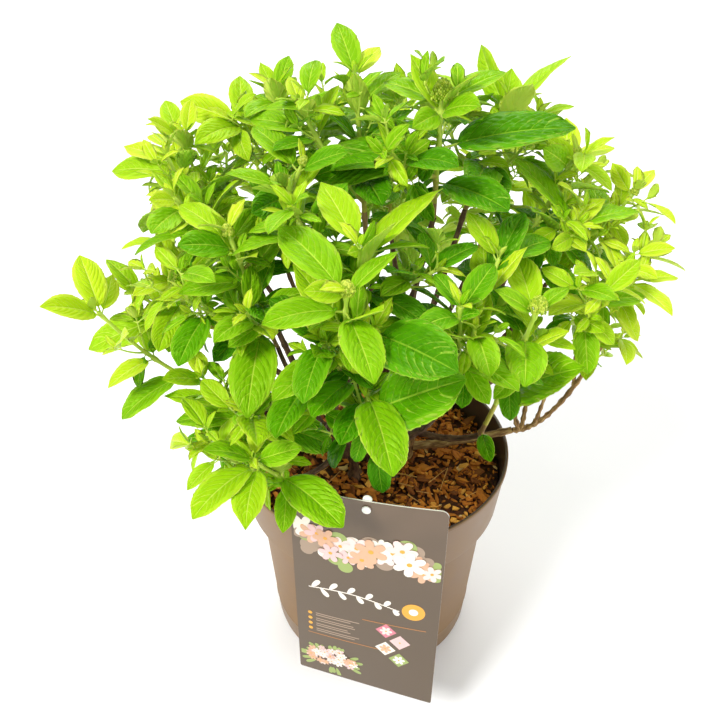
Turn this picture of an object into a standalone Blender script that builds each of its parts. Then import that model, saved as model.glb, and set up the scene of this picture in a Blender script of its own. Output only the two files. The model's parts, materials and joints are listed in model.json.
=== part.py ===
"""A hydrangea shrub in its nursery pot.

The pot, its root ball and a hanging plant label carry a woody frame: stems rise from the
soil, boughs leave them, and each bough ends where it enters a mass of foliage. A mass is one
solid: green shoots grown from one foot, with opposite pairs of leaves, each pair turned a
quarter from the last, and flower buds on the strongest tips.

Metres, +Z up. The origin is under the centre of the pot, on the surface it stands on.
"""
import math
import random
from typing import NamedTuple

import bmesh
import bpy
from mathutils import Matrix, Quaternion, Vector
from mathutils.bvhtree import BVHTree

MM = 0.001
GAP = 0.3 * MM
UP = Vector((0.0, 0.0, 1.0))
SHARP_ANGLE = math.radians(35.0)
WOOD_SHARP_ANGLE = math.radians(50.0)

# Pot: a thermoformed three-litre nursery pot, turned about the Z axis
RIM_RADIUS = 95.0 * MM
POT_HEIGHT = 1.75 * RIM_RADIUS
COLLAR_HEIGHT = 40.0 * MM
COLLAR_FOOT_RADIUS = 0.955 * RIM_RADIUS
BODY_TOP_RADIUS = 0.876 * RIM_RADIUS
BODY_FOOT_RADIUS = 0.80 * RIM_RADIUS
FOOT_ROUNDING = 7.0 * MM
FOOT_ROUNDING_STEPS = 3
WALL = 1.6 * MM
FLOOR = 2.2 * MM
LIP_WIDTH = 2.4 * MM
LIP_HEIGHT = 3.6 * MM
LIP_ROUNDING = 0.8 * MM
DRAIN_HOLES = 6
DRAIN_HOLE_RADIUS = 4.5 * MM
DRAIN_CIRCLE_RADIUS = 0.62 * BODY_FOOT_RADIUS
TURNED_SIDES = 32
HOLE_SIDES = 8

# Root ball: fills the pot to a level soil surface
SOIL_LEVEL = 1.55 * RIM_RADIUS

# Plant label: a bowed plastic card that hangs in front of the rim on a staked button
CARD_WIDTH = 95.0 * MM
CARD_HEIGHT = 177.0 * MM
CARD_THICKNESS = 0.8 * MM
CARD_CORNER = 7.0 * MM
CARD_CORNER_STEPS = 4
CARD_MIDDLE_STEPS = 6
CARD_BOW = 2.5 * MM
CARD_TOP = Vector((-5.6, -102.6, 211.8)) * MM
CARD_YAW = math.radians(-12.7)
CARD_LEAN = math.radians(0.7)
CARD_HOLE_RADIUS = 2.3 * MM
CARD_HOLE_DROP = 6.0 * MM

# Label stake: a flat strip out of the soil, with a round head and a button through the card
STAKE_FOOT = Vector((-2.0, -75.0, 0.0)) * MM
STAKE_WIDTH = 5.0 * MM
STAKE_THICKNESS = 1.6 * MM
HEAD_RADIUS = 5.0 * MM
HEAD_RISE = 5.0 * MM
PIN_RADIUS = 1.7 * MM
BUTTON_RADIUS = 4.0 * MM
BUTTON_THICKNESS = 1.2 * MM
BUTTON_SIDES = 16

# Wood
STEM_SIDES = 8
BOUGH_SIDES = 6
STEM_STEPS = 6
BOUGH_STEPS = 3
FLARE = 0.55
FLARE_HEIGHT = 7.0 * MM
NEARLY_UPRIGHT = 0.9
LEAST_SINE = 0.2

# Green shoots and leaves
TWIG_SIDES = 3
TWIG_FULLNESS = 1.5
TWIG_STEPS = 4
TWIG_TIP = 0.72
SIDE_TWIG = 0.9
LEAF_WIDTH = 0.60
PETIOLE = 0.14
ROOT_SINK = 0.7 * MM
LEAF_KEEL = 0.024
KEEL_PLACE = 0.25
FOLD_SHARE = 0.35
WIDEST = 0.42
SHOULDER = 0.76
SHOULDER_WIDTH = 0.66
LEAF_CLEARANCE = 0.6 * MM
OWN_START = 0.12
CROWDING = 1.35
LOWEST_LEAF = SOIL_LEVEL + 12.0 * MM
BUD_SIDES = 5
BUD_POINT = 1.3
BUD_SEAT = 0.5
SEED = 71

# How a leaf sits, from the lowest pair of its shoot to the highest: degrees and shares
LOW_RISE = 2.0
RISE_GAIN = 56.0
RISE_POWER = 1.3
SINK_LOSS = 0.7
SKY_OUT = 0.25
SKY_AHEAD = 0.2
SKY_AHEAD_GAIN = 0.5
LOW_CURL = 42.0
CURL_LOSS = 22.0
LOW_FOLD = 16.0
FOLD_GAIN = 16.0
FIRST_PAIR = 0.62
BROADEST_PAIR = 0.4
CREST_POWER = 1.4

# How far chance turns, lifts, rolls, stretches, curls and folds a leaf: degrees and a share
STRAY_TURN = 10.0
STRAY_RISE = 9.0
STRAY_ROLL = 14.0
STRAY_LENGTH = 0.10
STRAY_CURL = 12.0
STRAY_FOLD = 6.0

# Turn and lift in degrees, and share of the length, tried in this order for a crowded leaf
TRIES = (
    (0, 0, 1.0), (12, 4, 1.0), (-12, 4, 1.0), (0, 14, 1.0), (0, -14, 1.0),
    (24, -8, 0.95), (-24, -8, 0.95), (22, 12, 0.9), (-22, 12, 0.9), (0, 26, 0.85),
    (0, -28, 0.85), (36, 0, 0.8), (-36, 0, 0.8), (14, 30, 0.7), (-14, 30, 0.7),
    (30, -24, 0.65), (-30, -24, 0.65), (0, 10, 0.55), (44, 8, 0.5), (-44, 8, 0.5),
)

# Placed leaves: their fold, and what is added to the roll of a crowded one, in degrees
PLACED_FOLD = math.radians(24.0)
ROLLS = (0, 16, -16, 32, -32)


class Limb(NamedTuple):
    """A stem or bough: one tapering limb, in millimetres."""

    name: str
    parent: str
    along: float
    foot: tuple
    tip: tuple
    bow: float
    foot_radius: float
    tip_radius: float


class Placed(NamedTuple):
    """A leaf placed by hand: where on its shoot, which way it sets out, how long; mm and degrees."""

    along: float
    azimuth: float
    lift: float
    length: float
    roll: float
    curl: float


class Shoot(NamedTuple):
    """A green shoot of a foliage mass, in millimetres and degrees."""

    along: float
    tip: tuple
    bow: float
    pairs: int
    bare: float
    turn: float
    leaf: float
    droop: float
    crest: float = 0.45
    bud: float = 0.0
    top: float = 0.97
    placed: tuple = ()


class Mass(NamedTuple):
    """A foliage mass: its name, the bough it continues and its shoots, main shoot first."""

    name: str
    bough: str
    shoots: tuple


class Leaf(NamedTuple):
    """A leaf's frame and measures, in metres and radians."""

    root: Vector
    ahead: Vector
    above: Vector
    length: float
    curl: float
    fold: float


STEMS = (
    Limb("stem_centre", "", 0.0, (0, 2), (2, 6, 246), 0.02, 4.2, 2.8),
    Limb("stem_left", "", 0.0, (-21, 3), (-50, 4, 222), -0.06, 3.6, 2.4),
    Limb("stem_front_left", "", 0.0, (-13, -17), (-30, -42, 214), -0.06, 3.3, 2.2),
    Limb("stem_front_right", "", 0.0, (12, -18), (30, -44, 216), -0.06, 3.3, 2.2),
    Limb("stem_right", "", 0.0, (24, 3), (56, 4, 226), -0.06, 3.8, 2.5),
    Limb("stem_back_right", "", 0.0, (13, 21), (36, 48, 228), -0.05, 3.5, 2.3),
    Limb("stem_back_left", "", 0.0, (-12, 21), (-34, 50, 228), -0.05, 3.5, 2.3),
)

BOUGHS = (
    Limb("bough_top", "stem_centre", 1.0, (), (-6, 16, 322), 0.02, 2.5, 1.7),
    Limb("bough_top_right", "stem_centre", 0.82, (), (34, 8, 336), -0.16, 2.4, 1.7),
    Limb("bough_upper_front", "stem_centre", 0.66, (), (-8, -36, 296), -0.14, 2.2, 1.5),
    Limb("bough_far_left", "stem_left", 0.62, (), (-98, -32, 238), -0.10, 2.2, 1.5),
    Limb("bough_left", "stem_left", 0.86, (), (-92, 14, 252), -0.12, 2.2, 1.5),
    Limb("bough_upper_left", "stem_left", 1.0, (), (-72, -2, 296), -0.03, 2.2, 1.5),
    Limb("bough_low_left", "stem_left", 0.26, (), (-70, -40, 202), -0.12, 2.2, 1.5),
    Limb("bough_front", "stem_front_left", 1.0, (), (-20, -66, 268), -0.04, 2.0, 1.5),
    Limb("bough_front_left", "stem_front_left", 0.60, (), (-50, -78, 206), -0.10, 2.0, 1.4),
    Limb("bough_left_shoulder", "stem_front_left", 0.84, (), (-58, -40, 276), -0.12, 2.0, 1.4),
    Limb("bough_low_front", "stem_front_right", 0.62, (), (4, -70, 212), -0.12, 2.0, 1.4),
    Limb("bough_front_right", "stem_front_right", 1.0, (), (48, -58, 262), -0.05, 2.0, 1.5),
    Limb("bough_basal", "stem_right", 0.34, (), (72, -14, 184), -0.10, 2.4, 1.8),
    Limb("bough_bare", "stem_right", 0.14, (), (98, 3, 174), -0.03, 3.0, 2.4),
    Limb("bough_right", "stem_right", 0.72, (), (112, 2, 254), -0.14, 2.3, 1.6),
    Limb("bough_right_shoulder", "stem_right", 1.0, (), (86, 22, 294), -0.06, 2.3, 1.6),
    Limb("bough_far_right", "stem_right", 0.88, (), (116, 40, 272), -0.12, 2.2, 1.5),
    Limb("bough_upper_right", "stem_back_right", 1.0, (), (58, 48, 322), -0.03, 2.2, 1.6),
    Limb("bough_back_right", "stem_back_right", 0.70, (), (74, 92, 262), -0.12, 2.1, 1.5),
    Limb("bough_back", "stem_back_right", 0.86, (), (12, 92, 286), -0.12, 2.1, 1.5),
    Limb("bough_upper_back", "stem_back_left", 1.0, (), (-48, 46, 316), -0.02, 2.2, 1.6),
    Limb("bough_back_left", "stem_back_left", 0.72, (), (-66, 96, 258), -0.12, 2.1, 1.5),
    Limb("bough_outer_left", "stem_back_left", 0.86, (), (-90, 52, 296), -0.12, 2.2, 1.5),
)

MASSES = (
    Mass("foliage_front", "bough_front", (
        Shoot(0.0, (-16, -95, 348), -0.05, 3, 0.10, 132, 54, 16, crest=0.9, bud=8, top=0.66, placed=(
            Placed(0.95, 134, 33, 54, 0, 26), Placed(0.95, 45, 27, 38, -11, 20),
            Placed(0.97, -135, 31, 27, -49, 24), Placed(0.84, -154, 19, 44, -11, 34),
            Placed(0.84, -72, -3, 47, 0, 30),
        )),
        Shoot(0.25, (-28, -86, 312), -0.1, 2, 0.35, 8, 46, 10, crest=0.8, top=0.7, placed=(
            Placed(0.97, -103, 5, 42, 0, 40), Placed(0.8, 160, 48, 41, 0, 26),
        )),
        Shoot(0.15, (-3, -86, 319), -0.12, 2, 0.35, 60, 50, 22, crest=0.85, top=0.7, placed=(
            Placed(0.97, -60, 21, 68, 16, 22),
        )),
    )),
    Mass("foliage_upper_front", "bough_upper_front", (
        Shoot(0.0, (-10, -68, 357), -0.03, 3, 0.15, 42, 52, 4, crest=0.9, top=0.62, placed=(
            Placed(0.96, 120, 36, 46, 0, 18), Placed(0.97, 58, 21, 22, 78, 20),
            Placed(0.97, -106, 22, 15, -73, 20), Placed(0.8, 42, 31, 64, -13, 18),
        )),
        Shoot(0.35, (30, -52, 334), -0.08, 3, 0.35, 100, 40, 8, crest=0.6, top=0.8, placed=(
            Placed(0.96, 94, 29, 28, 32, 14), Placed(0.9, 27, 29, 34, 0, 26),
        )),
        Shoot(0.3, (-42, -46, 362), -0.08, 4, 0.40, 20, 48, 6),
    )),
    Mass("foliage_top", "bough_top", (
        Shoot(0.0, (-12, 28, 413), 0.01, 4, 0.10, 10, 44, 0, crest=0.7, top=0.72, placed=(
            Placed(0.98, 111, 44, 38, 0, 16), Placed(0.98, 57, 33, 28, 0, 20),
            Placed(0.8, 41, 31, 36, 0, 20),
        )),
        Shoot(0.2, (-43, 18, 400), -0.08, 4, 0.30, 40, 42, 4, crest=0.6, top=0.86, placed=(
            Placed(0.97, 113, 35, 24, 0, 10), Placed(0.78, 54, 8, 44, 20, 20),
            Placed(0.78, 167, 17, 40, -10, 24),
        )),
        Shoot(0.3, (16, 44, 398), -0.08, 3, 0.30, 0, 46, 6),
    )),
    Mass("foliage_top_right", "bough_top_right", (
        Shoot(0.0, (35, 8, 408), 0.01, 2, 0.62, 57, 46, 8, crest=0.8, bud=12, top=0.84, placed=(
            Placed(0.58, -6, 18, 76, 21, 20), Placed(0.58, -177, -6, 73, -10, 20),
            Placed(0.3, -54, 13, 57, 15, 24), Placed(0.93, 151, 19, 38, -21, 24),
            Placed(0.93, 19, 29, 40, 5, 20), Placed(0.86, -68, 32, 36, 45, 30),
            Placed(0.86, -118, 12, 30, -36, 30),
        )),
        Shoot(0.35, (8, -14, 384), -0.1, 3, 0.40, 80, 46, 4),
    )),
    Mass("foliage_upper_right", "bough_upper_right", (
        Shoot(0.0, (81, 52, 387), -0.02, 4, 0.15, 0, 54, 10, crest=0.8, bud=6, top=0.82, placed=(
            Placed(0.4, -85, 10, 44, 41, 24), Placed(0.95, 31, 39, 52, -16, 16),
            Placed(0.95, 129, 46, 46, -87, 16),
        )),
        Shoot(0.3, (98, 66, 362), -0.1, 3, 0.30, 60, 46, 6),
        Shoot(0.25, (44, 84, 376), -0.1, 3, 0.40, 20, 50, 6),
    )),
    Mass("foliage_right_shoulder", "bough_right_shoulder", (
        Shoot(0.0, (119, 34, 365), -0.03, 4, 0.12, 25, 48, 10, crest=0.7, bud=6, top=0.86, placed=(
            Placed(0.95, 17, 19, 30, 10, 26), Placed(0.9, -127, 35, 34, -92, 24),
        )),
        Shoot(0.3, (119, 6, 332), -0.1, 3, 0.30, 70, 44, 8, crest=0.7, top=0.7, placed=(
            Placed(0.97, 143, 42, 54, 11, 16), Placed(0.97, 15, 17, 44, 5, 30),
        )),
    )),
    Mass("foliage_far_right", "bough_far_right", (
        Shoot(0.0, (163, 44, 336), -0.06, 4, 0.20, 60, 38, 8, crest=0.7, bud=5, top=0.84, placed=(
            Placed(0.97, 43, 31, 26, 0, 16), Placed(0.97, 120, 36, 26, -43, 14),
            Placed(0.95, -32, -7, 14, 5, 30),
        )),
        Shoot(0.3, (142, 18, 334), -0.1, 3, 0.35, 0, 38, 6),
        Shoot(0.25, (138, 74, 324), -0.1, 3, 0.40, 30, 44, 8),
    )),
    Mass("foliage_right", "bough_right", (
        Shoot(0.0, (169, 10, 316), -0.08, 4, 0.28, 40, 34, 12, crest=0.6, bud=6, top=0.9),
        Shoot(0.35, (157, -6, 302), -0.04, 2, 0.40, 80, 34, 14, crest=0.7, top=0.7, placed=(
            Placed(0.97, 14, 3, 32, 10, 20), Placed(0.9, -66, 11, 38, 0, 30),
            Placed(0.6, -74, -3, 28, 0, 40),
        )),
        Shoot(0.22, (126, -30, 306), -0.1, 4, 0.35, 10, 40, 10),
    )),
    Mass("foliage_basal_shoot", "bough_basal", (
        Shoot(0.0, (87, -58, 315), -0.04, 2, 0.58, 100, 46, 14, crest=0.8, bud=10, top=0.7, placed=(
            Placed(0.95, 102, 37, 44, 0, 24), Placed(0.96, 39, 27, 28, -11, 24),
            Placed(0.96, -168, 43, 30, -40, 24), Placed(0.82, -100, 19, 50, 0, 36),
            Placed(0.82, 106, 17, 48, 0, 20), Placed(0.36, -47, 53, 73, 36, 24),
            Placed(0.03, -87, 5, 27, 20, 30),
        )),
    )),
    Mass("bare_twigs", "bough_bare", (
        Shoot(0.0, (152, 10, 244), -0.22, 2, 0.88, 30, 20, 0),
        Shoot(0.06, (92, 6, 210), -0.05, 0, 0.00, 0, 0, 0),
        Shoot(0.1, (108, 12, 206), -0.1, 0, 0.00, 0, 0, 0),
        Shoot(0.26, (117, 2, 206), -0.12, 0, 0.00, 0, 0, 0),
        Shoot(0.72, (136, 14, 238), -0.12, 0, 0.00, 0, 0, 0),
    )),
    Mass("foliage_front_right", "bough_front_right", (
        Shoot(0.0, (43, -72, 324), -0.05, 3, 0.12, 30, 50, 12, crest=0.8, top=0.66, placed=(
            Placed(0.96, 129, 43, 25, 0, 26), Placed(0.96, 48, 33, 34, 21, 16),
            Placed(0.88, -135, 34, 32, -18, 60), Placed(0.88, -81, 50, 18, 71, 55),
        )),
        Shoot(0.22, (52, -70, 308), -0.1, 3, 0.30, 80, 46, 16, crest=0.7, top=0.7, placed=(
            Placed(0.97, -83, 9, 36, 0, 34),
        )),
        Shoot(0.34, (67, -36, 333), -0.08, 2, 0.40, 20, 44, 8, crest=0.8, top=0.7, placed=(
            Placed(0.97, 113, 31, 38, 0, 20), Placed(0.97, 35, 10, 41, 5, 20),
            Placed(0.8, 116, -4, 40, -29, 24), Placed(0.8, 58, 49, 46, 0, 20),
        )),
    )),
    Mass("foliage_low_front", "bough_low_front", (
        Shoot(0.0, (-6, -88, 281), -0.06, 2, 0.34, 90, 50, 34, crest=0.9, top=0.6, placed=(
            Placed(0.97, -78, 10, 60, 0, 36), Placed(0.9, -113, 11, 38, 0, 30),
            Placed(0.78, -47, 45, 74, 35, 24),
        )),
        Shoot(0.3, (-13, -82, 286), -0.1, 2, 0.45, 60, 40, 30, crest=0.8, top=0.7, placed=(
            Placed(0.97, -121, 18, 42, 0, 30),
        )),
        Shoot(0.2, (-41, -78, 277), -0.1, 2, 0.40, 20, 44, 24, crest=0.8, top=0.7, placed=(
            Placed(0.97, -107, 15, 44, 0, 34),
        )),
    )),
    Mass("foliage_front_left", "bough_front_left", (
        Shoot(0.0, (-68, -104, 246), -0.06, 2, 0.14, 128, 36, 22, crest=0.8, top=0.3, placed=(
            Placed(0.42, -45, 11, 56, 0, 30), Placed(0.42, 41, 42, 18, 0, 20),
            Placed(0.97, -141, 50, 36, -19, 30), Placed(0.97, 85, 33, 30, -11, 20),
            Placed(0.95, -21, 37, 32, 45, 24), Placed(0.84, -134, 12, 50, 10, 40),
            Placed(0.84, -98, 10, 46, 0, 34),
        )),
        Shoot(0.22, (-94, -88, 240), -0.1, 3, 0.40, 0, 36, 18),
    )),
    Mass("foliage_left_shoulder", "bough_left_shoulder", (
        Shoot(0.0, (-79, -44, 353), -0.04, 4, 0.12, 35, 48, 8, crest=0.7, bud=6, top=0.78, placed=(
            Placed(0.9, 145, 30, 41, 0, 24), Placed(0.88, -131, 32, 37, -33, 24),
            Placed(0.94, 59, 26, 25, 42, 20),
        )),
        Shoot(0.25, (-69, -70, 319), -0.1, 2, 0.30, 70, 44, 16, crest=0.7, top=0.5, placed=(
            Placed(0.2, -95, -9, 60, 0, 34), Placed(0.2, -138, -1, 36, 0, 30),
            Placed(0.97, 85, 34, 30, 43, 16), Placed(0.6, -118, 36, 36, -12, 60),
        )),
        Shoot(0.22, (-104, -54, 318), -0.1, 3, 0.40, 0, 44, 14),
    )),
    Mass("foliage_low_left", "bough_low_left", (
        Shoot(0.0, (-103, -45, 256), -0.1, 3, 0.12, 0, 42, 18, crest=0.8, top=0.7, placed=(
            Placed(0.97, -132, 42, 32, -23, 30), Placed(0.97, 118, 32, 26, 0, 20),
            Placed(0.1, -168, 19, 50, 11, 36),
        )),
        Shoot(0.3, (-70, -82, 262), -0.1, 3, 0.40, 90, 50, 34, crest=0.9),
    )),
    Mass("foliage_far_left", "bough_far_left", (
        Shoot(0.0, (-164, -28, 293), -0.1, 1, 0.62, 50, 34, 4, crest=0.8, top=0.62, placed=(
            Placed(0.97, 120, 51, 40, 0, 24), Placed(0.96, -122, 43, 44, -34, 24),
            Placed(0.97, 82, 29, 30, 53, 16), Placed(0.55, -134, 7, 34, -10, 40),
            Placed(0.55, 112, 18, 32, 0, 20), Placed(0.3, -144, -3, 46, 0, 36),
        )),
    )),
    Mass("foliage_left", "bough_left", (
        Shoot(0.0, (-149, 5, 285), -0.1, 3, 0.30, 20, 38, 8, crest=0.8, top=0.7, placed=(
            Placed(0.97, 145, 42, 33, 0, 24), Placed(0.97, -88, 21, 17, -57, 20),
            Placed(0.7, 77, 48, 44, 50, 14), Placed(0.62, -159, -4, 60, -19, 26),
        )),
        Shoot(0.3, (-126, 38, 292), -0.1, 3, 0.40, 60, 44, 10),
        Shoot(0.25, (-122, -14, 304), -0.1, 3, 0.40, 0, 40, 10),
    )),
    Mass("foliage_upper_left", "bough_upper_left", (
        Shoot(0.0, (-112, -16, 360), -0.04, 4, 0.12, 10, 46, 8, crest=0.7, top=0.8, placed=(
            Placed(0.97, 130, 30, 26, 21, 16), Placed(0.97, -111, 29, 24, -48, 20),
            Placed(0.9, -107, 11, 34, -15, 24),
        )),
        Shoot(0.3, (-120, 16, 370), -0.12, 3, 0.30, 60, 46, 6, crest=0.7, top=0.8, placed=(
            Placed(0.97, 154, 12, 34, -10, 14), Placed(0.9, 167, 4, 43, -20, 24),
        )),
        Shoot(0.2, (-41, -8, 377), -0.1, 3, 0.30, 40, 46, 6, crest=0.8, bud=5, top=0.7, placed=(
            Placed(0.94, 134, 32, 42, 0, 24), Placed(0.94, -30, 36, 36, 33, 20),
            Placed(0.78, -108, 18, 40, -42, 24),
        )),
    )),
    Mass("foliage_outer_left", "bough_outer_left", (
        Shoot(0.0, (-121, 48, 373), -0.06, 4, 0.15, 30, 44, 6, crest=0.7, top=0.82, placed=(
            Placed(0.97, 115, 39, 28, 0, 14), Placed(0.97, -127, 42, 26, -52, 8),
        )),
        Shoot(0.25, (-138, 76, 334), -0.1, 3, 0.35, 0, 48, 12),
        Shoot(0.25, (-98, 84, 346), -0.1, 3, 0.40, 60, 48, 8),
    )),
    Mass("foliage_upper_back", "bough_upper_back", (
        Shoot(0.0, (-60, 57, 395), -0.02, 4, 0.12, 0, 46, 6, crest=0.7, top=0.84, placed=(
            Placed(0.97, 124, 43, 24, 0, 8), Placed(0.97, 69, 45, 28, 0, 14),
        )),
        Shoot(0.25, (-83, 60, 378), -0.1, 3, 0.35, 70, 44, 6, crest=0.8, top=0.8, placed=(
            Placed(0.96, 97, 41, 34, 0, 14), Placed(0.9, -121, 21, 44, -21, 44),
            Placed(0.96, 167, 14, 44, -62, 20),
        )),
        Shoot(0.2, (-28, 84, 374), -0.1, 3, 0.35, 30, 50, 8),
    )),
    Mass("foliage_back_left", "bough_back_left", (
        Shoot(0.0, (-84, 128, 318), -0.06, 4, 0.10, 20, 56, 16),
        Shoot(0.25, (-112, 112, 270), -0.1, 3, 0.40, 70, 52, 20),
        Shoot(0.2, (-48, 136, 280), -0.1, 3, 0.35, 0, 54, 20),
    )),
    Mass("foliage_back", "bough_back", (
        Shoot(0.0, (12, 122, 350), -0.05, 5, 0.10, 0, 56, 12),
        Shoot(0.25, (-22, 136, 312), -0.1, 4, 0.35, 60, 52, 16),
        Shoot(0.2, (34, 138, 270), -0.1, 3, 0.35, 20, 54, 22),
    )),
    Mass("foliage_back_right", "bough_back_right", (
        Shoot(0.0, (96, 118, 324), -0.06, 4, 0.10, 10, 56, 16),
        Shoot(0.25, (130, 96, 282), -0.1, 3, 0.35, 60, 52, 20),
        Shoot(0.2, (68, 140, 286), -0.1, 3, 0.35, 30, 54, 20),
    )),
)

MATERIALS = {
    # name: base colour (linear), roughness, metallic
    "taupe_plastic": ((0.36, 0.255, 0.165), 0.42, 0.0),
    "soil": ((0.06, 0.03, 0.015), 0.95, 0.0),
    "label_card": ((0.20, 0.16, 0.13), 0.35, 0.0),
    "white_plastic": ((0.8, 0.8, 0.78), 0.4, 0.0),
    "bark": ((0.20, 0.11, 0.06), 0.85, 0.0),
    "leaf": ((0.12, 0.42, 0.02), 0.45, 0.0),
}


def make_material(name):
    """The Principled material of a sub-part, made once."""
    material = bpy.data.materials.get(name)
    if material is None:
        colour, roughness, metallic = MATERIALS[name]
        material = bpy.data.materials.new(name)
        material.use_nodes = True
        shader = material.node_tree.nodes["Principled BSDF"]
        shader.inputs["Base Color"].default_value = (*colour, 1.0)
        shader.inputs["Roughness"].default_value = roughness
        shader.inputs["Metallic"].default_value = metallic
        material.diffuse_color = (*colour, 1.0)
    return material


def add_object(name, vertices, faces, material):
    """A mesh object made from vertices and faces, linked to the scene."""
    mesh = bpy.data.meshes.new(name)
    mesh.from_pydata([tuple(v) for v in vertices], [], faces)
    mesh.materials.append(make_material(material))
    mesh.validate()
    obj = bpy.data.objects.new(name, mesh)
    bpy.context.scene.collection.objects.link(obj)
    return obj


def apply_boolean(target, operation, tools, solver="EXACT"):
    """Join or cut the target with a list of objects, apply it and remove the objects."""
    group = bpy.data.collections.new(target.name + "_tools")
    for tool in tools:
        group.objects.link(tool)
    step = target.modifiers.new("join", "BOOLEAN")
    step.operation = operation
    step.operand_type = "COLLECTION"
    step.collection = group
    step.solver = solver
    evaluated = target.evaluated_get(bpy.context.evaluated_depsgraph_get())
    joined = bpy.data.meshes.new_from_object(evaluated)
    target.modifiers.remove(step)
    target.data = joined
    joined.name = target.name
    for tool in tools:
        bpy.data.objects.remove(tool)
    bpy.data.collections.remove(group)


def shade_round(obj, angle):
    """Smooth shading with sharp edges above the angle."""
    obj.data.shade_smooth()
    obj.data.set_sharp_from_angle(angle=angle)


def turned(name, profile, material, sides=TURNED_SIDES):
    """A solid turned about Z from (radius, height) points; the ends lie on the axis."""
    vertices = []
    rings = []
    for radius, height in profile:
        if radius == 0.0:
            rings.append([len(vertices)] * sides)
            vertices.append((0.0, 0.0, height))
            continue
        rings.append(list(range(len(vertices), len(vertices) + sides)))
        for k in range(sides):
            angle = math.tau * k / sides
            vertices.append((radius * math.cos(angle), radius * math.sin(angle), height))
    faces = []
    for low, high in zip(rings, rings[1:]):
        for k in range(sides):
            nxt = (k + 1) % sides
            corners = (low[k], low[nxt], high[nxt], high[k])
            faces.append(tuple(dict.fromkeys(corners)))
    obj = add_object(name, vertices, faces, material)
    shade_round(obj, SHARP_ANGLE)
    return obj


def disc(name, radius, thickness, frame, material, sides):
    """A short cylinder centred on its frame, with its axis along the frame's Z."""
    bm = bmesh.new()
    bmesh.ops.create_cone(bm, cap_ends=True, segments=sides, radius1=radius, radius2=radius,
                          depth=thickness, matrix=frame)
    mesh = bpy.data.meshes.new(name)
    bm.to_mesh(mesh)
    bm.free()
    mesh.materials.append(make_material(material))
    obj = bpy.data.objects.new(name, mesh)
    bpy.context.scene.collection.objects.link(obj)
    return obj


# Pot and root ball

COLLAR_FOOT = POT_HEIGHT - COLLAR_HEIGHT
COLLAR_SHELF = COLLAR_FOOT + WALL
LIP_FOOT_RADIUS = RIM_RADIUS - LIP_ROUNDING
COLLAR_INNER_TOP = RIM_RADIUS - LIP_WIDTH
COLLAR_INNER_FOOT = COLLAR_FOOT_RADIUS - WALL
BODY_INNER_TOP = BODY_TOP_RADIUS - WALL
BODY_INNER_FOOT = BODY_FOOT_RADIUS - WALL
FLOOR_RADIUS = BODY_FOOT_RADIUS - FOOT_ROUNDING


def build_pot():
    """The pot: tapering body, stepped collar, rolled lip and drain holes in a flat base."""
    profile = [(0.0, 0.0)]
    for k in range(FOOT_ROUNDING_STEPS + 1):
        angle = 0.5 * math.pi * k / FOOT_ROUNDING_STEPS
        profile.append((FLOOR_RADIUS + FOOT_ROUNDING * math.sin(angle),
                        FOOT_ROUNDING * (1.0 - math.cos(angle))))
    profile += [
        (BODY_TOP_RADIUS, COLLAR_FOOT),
        (COLLAR_FOOT_RADIUS, COLLAR_FOOT),
        (LIP_FOOT_RADIUS, POT_HEIGHT - LIP_HEIGHT),
        (RIM_RADIUS, POT_HEIGHT - LIP_HEIGHT + LIP_ROUNDING),
        (RIM_RADIUS, POT_HEIGHT - LIP_ROUNDING),
        (RIM_RADIUS - LIP_ROUNDING, POT_HEIGHT),
        (COLLAR_INNER_TOP, POT_HEIGHT),
        (COLLAR_INNER_FOOT, COLLAR_SHELF),
        (BODY_INNER_TOP, COLLAR_SHELF),
        (BODY_INNER_FOOT, FLOOR + FOOT_ROUNDING),
        (FLOOR_RADIUS, FLOOR),
        (0.0, FLOOR),
    ]
    pot = turned("pot", profile, "taupe_plastic")
    drills = []
    for k in range(DRAIN_HOLES):
        angle = math.tau * (k + 0.5) / DRAIN_HOLES
        place = Vector((math.cos(angle), math.sin(angle), 0.0)) * DRAIN_CIRCLE_RADIUS
        drills.append(disc("drain_drill", DRAIN_HOLE_RADIUS, 4.0 * FLOOR,
                           Matrix.Translation(place), "soil", HOLE_SIDES))
    apply_boolean(pot, "DIFFERENCE", drills)
    shade_round(pot, SHARP_ANGLE)


def build_root_ball():
    """The root ball: the inside of the pot, a gap smaller, cut level at the soil surface."""
    share = (SOIL_LEVEL - COLLAR_SHELF) / (POT_HEIGHT - COLLAR_SHELF)
    soil_radius = COLLAR_INNER_FOOT + share * (COLLAR_INNER_TOP - COLLAR_INNER_FOOT)
    profile = [
        (0.0, FLOOR + GAP),
        (FLOOR_RADIUS - GAP, FLOOR + GAP),
        (BODY_INNER_FOOT - 2.0 * GAP, FLOOR + FOOT_ROUNDING + GAP),
        (BODY_INNER_TOP - 2.0 * GAP, COLLAR_SHELF + GAP),
        (COLLAR_INNER_FOOT - 2.0 * GAP, COLLAR_SHELF + GAP),
        (soil_radius - 2.0 * GAP, SOIL_LEVEL),
        (0.0, SOIL_LEVEL),
    ]
    turned("root_ball", profile, "soil")


# Label

def card_frame(drop, out=0.0):
    """A frame on the card's middle line: X to its right, Y up it, Z out of its face."""
    turn = Matrix.Rotation(CARD_YAW, 4, "Z")
    upright = Matrix.Rotation(0.5 * math.pi - CARD_LEAN, 4, "X")
    return Matrix.Translation(CARD_TOP) @ turn @ upright @ Matrix.Translation((0.0, -drop, out))


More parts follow.
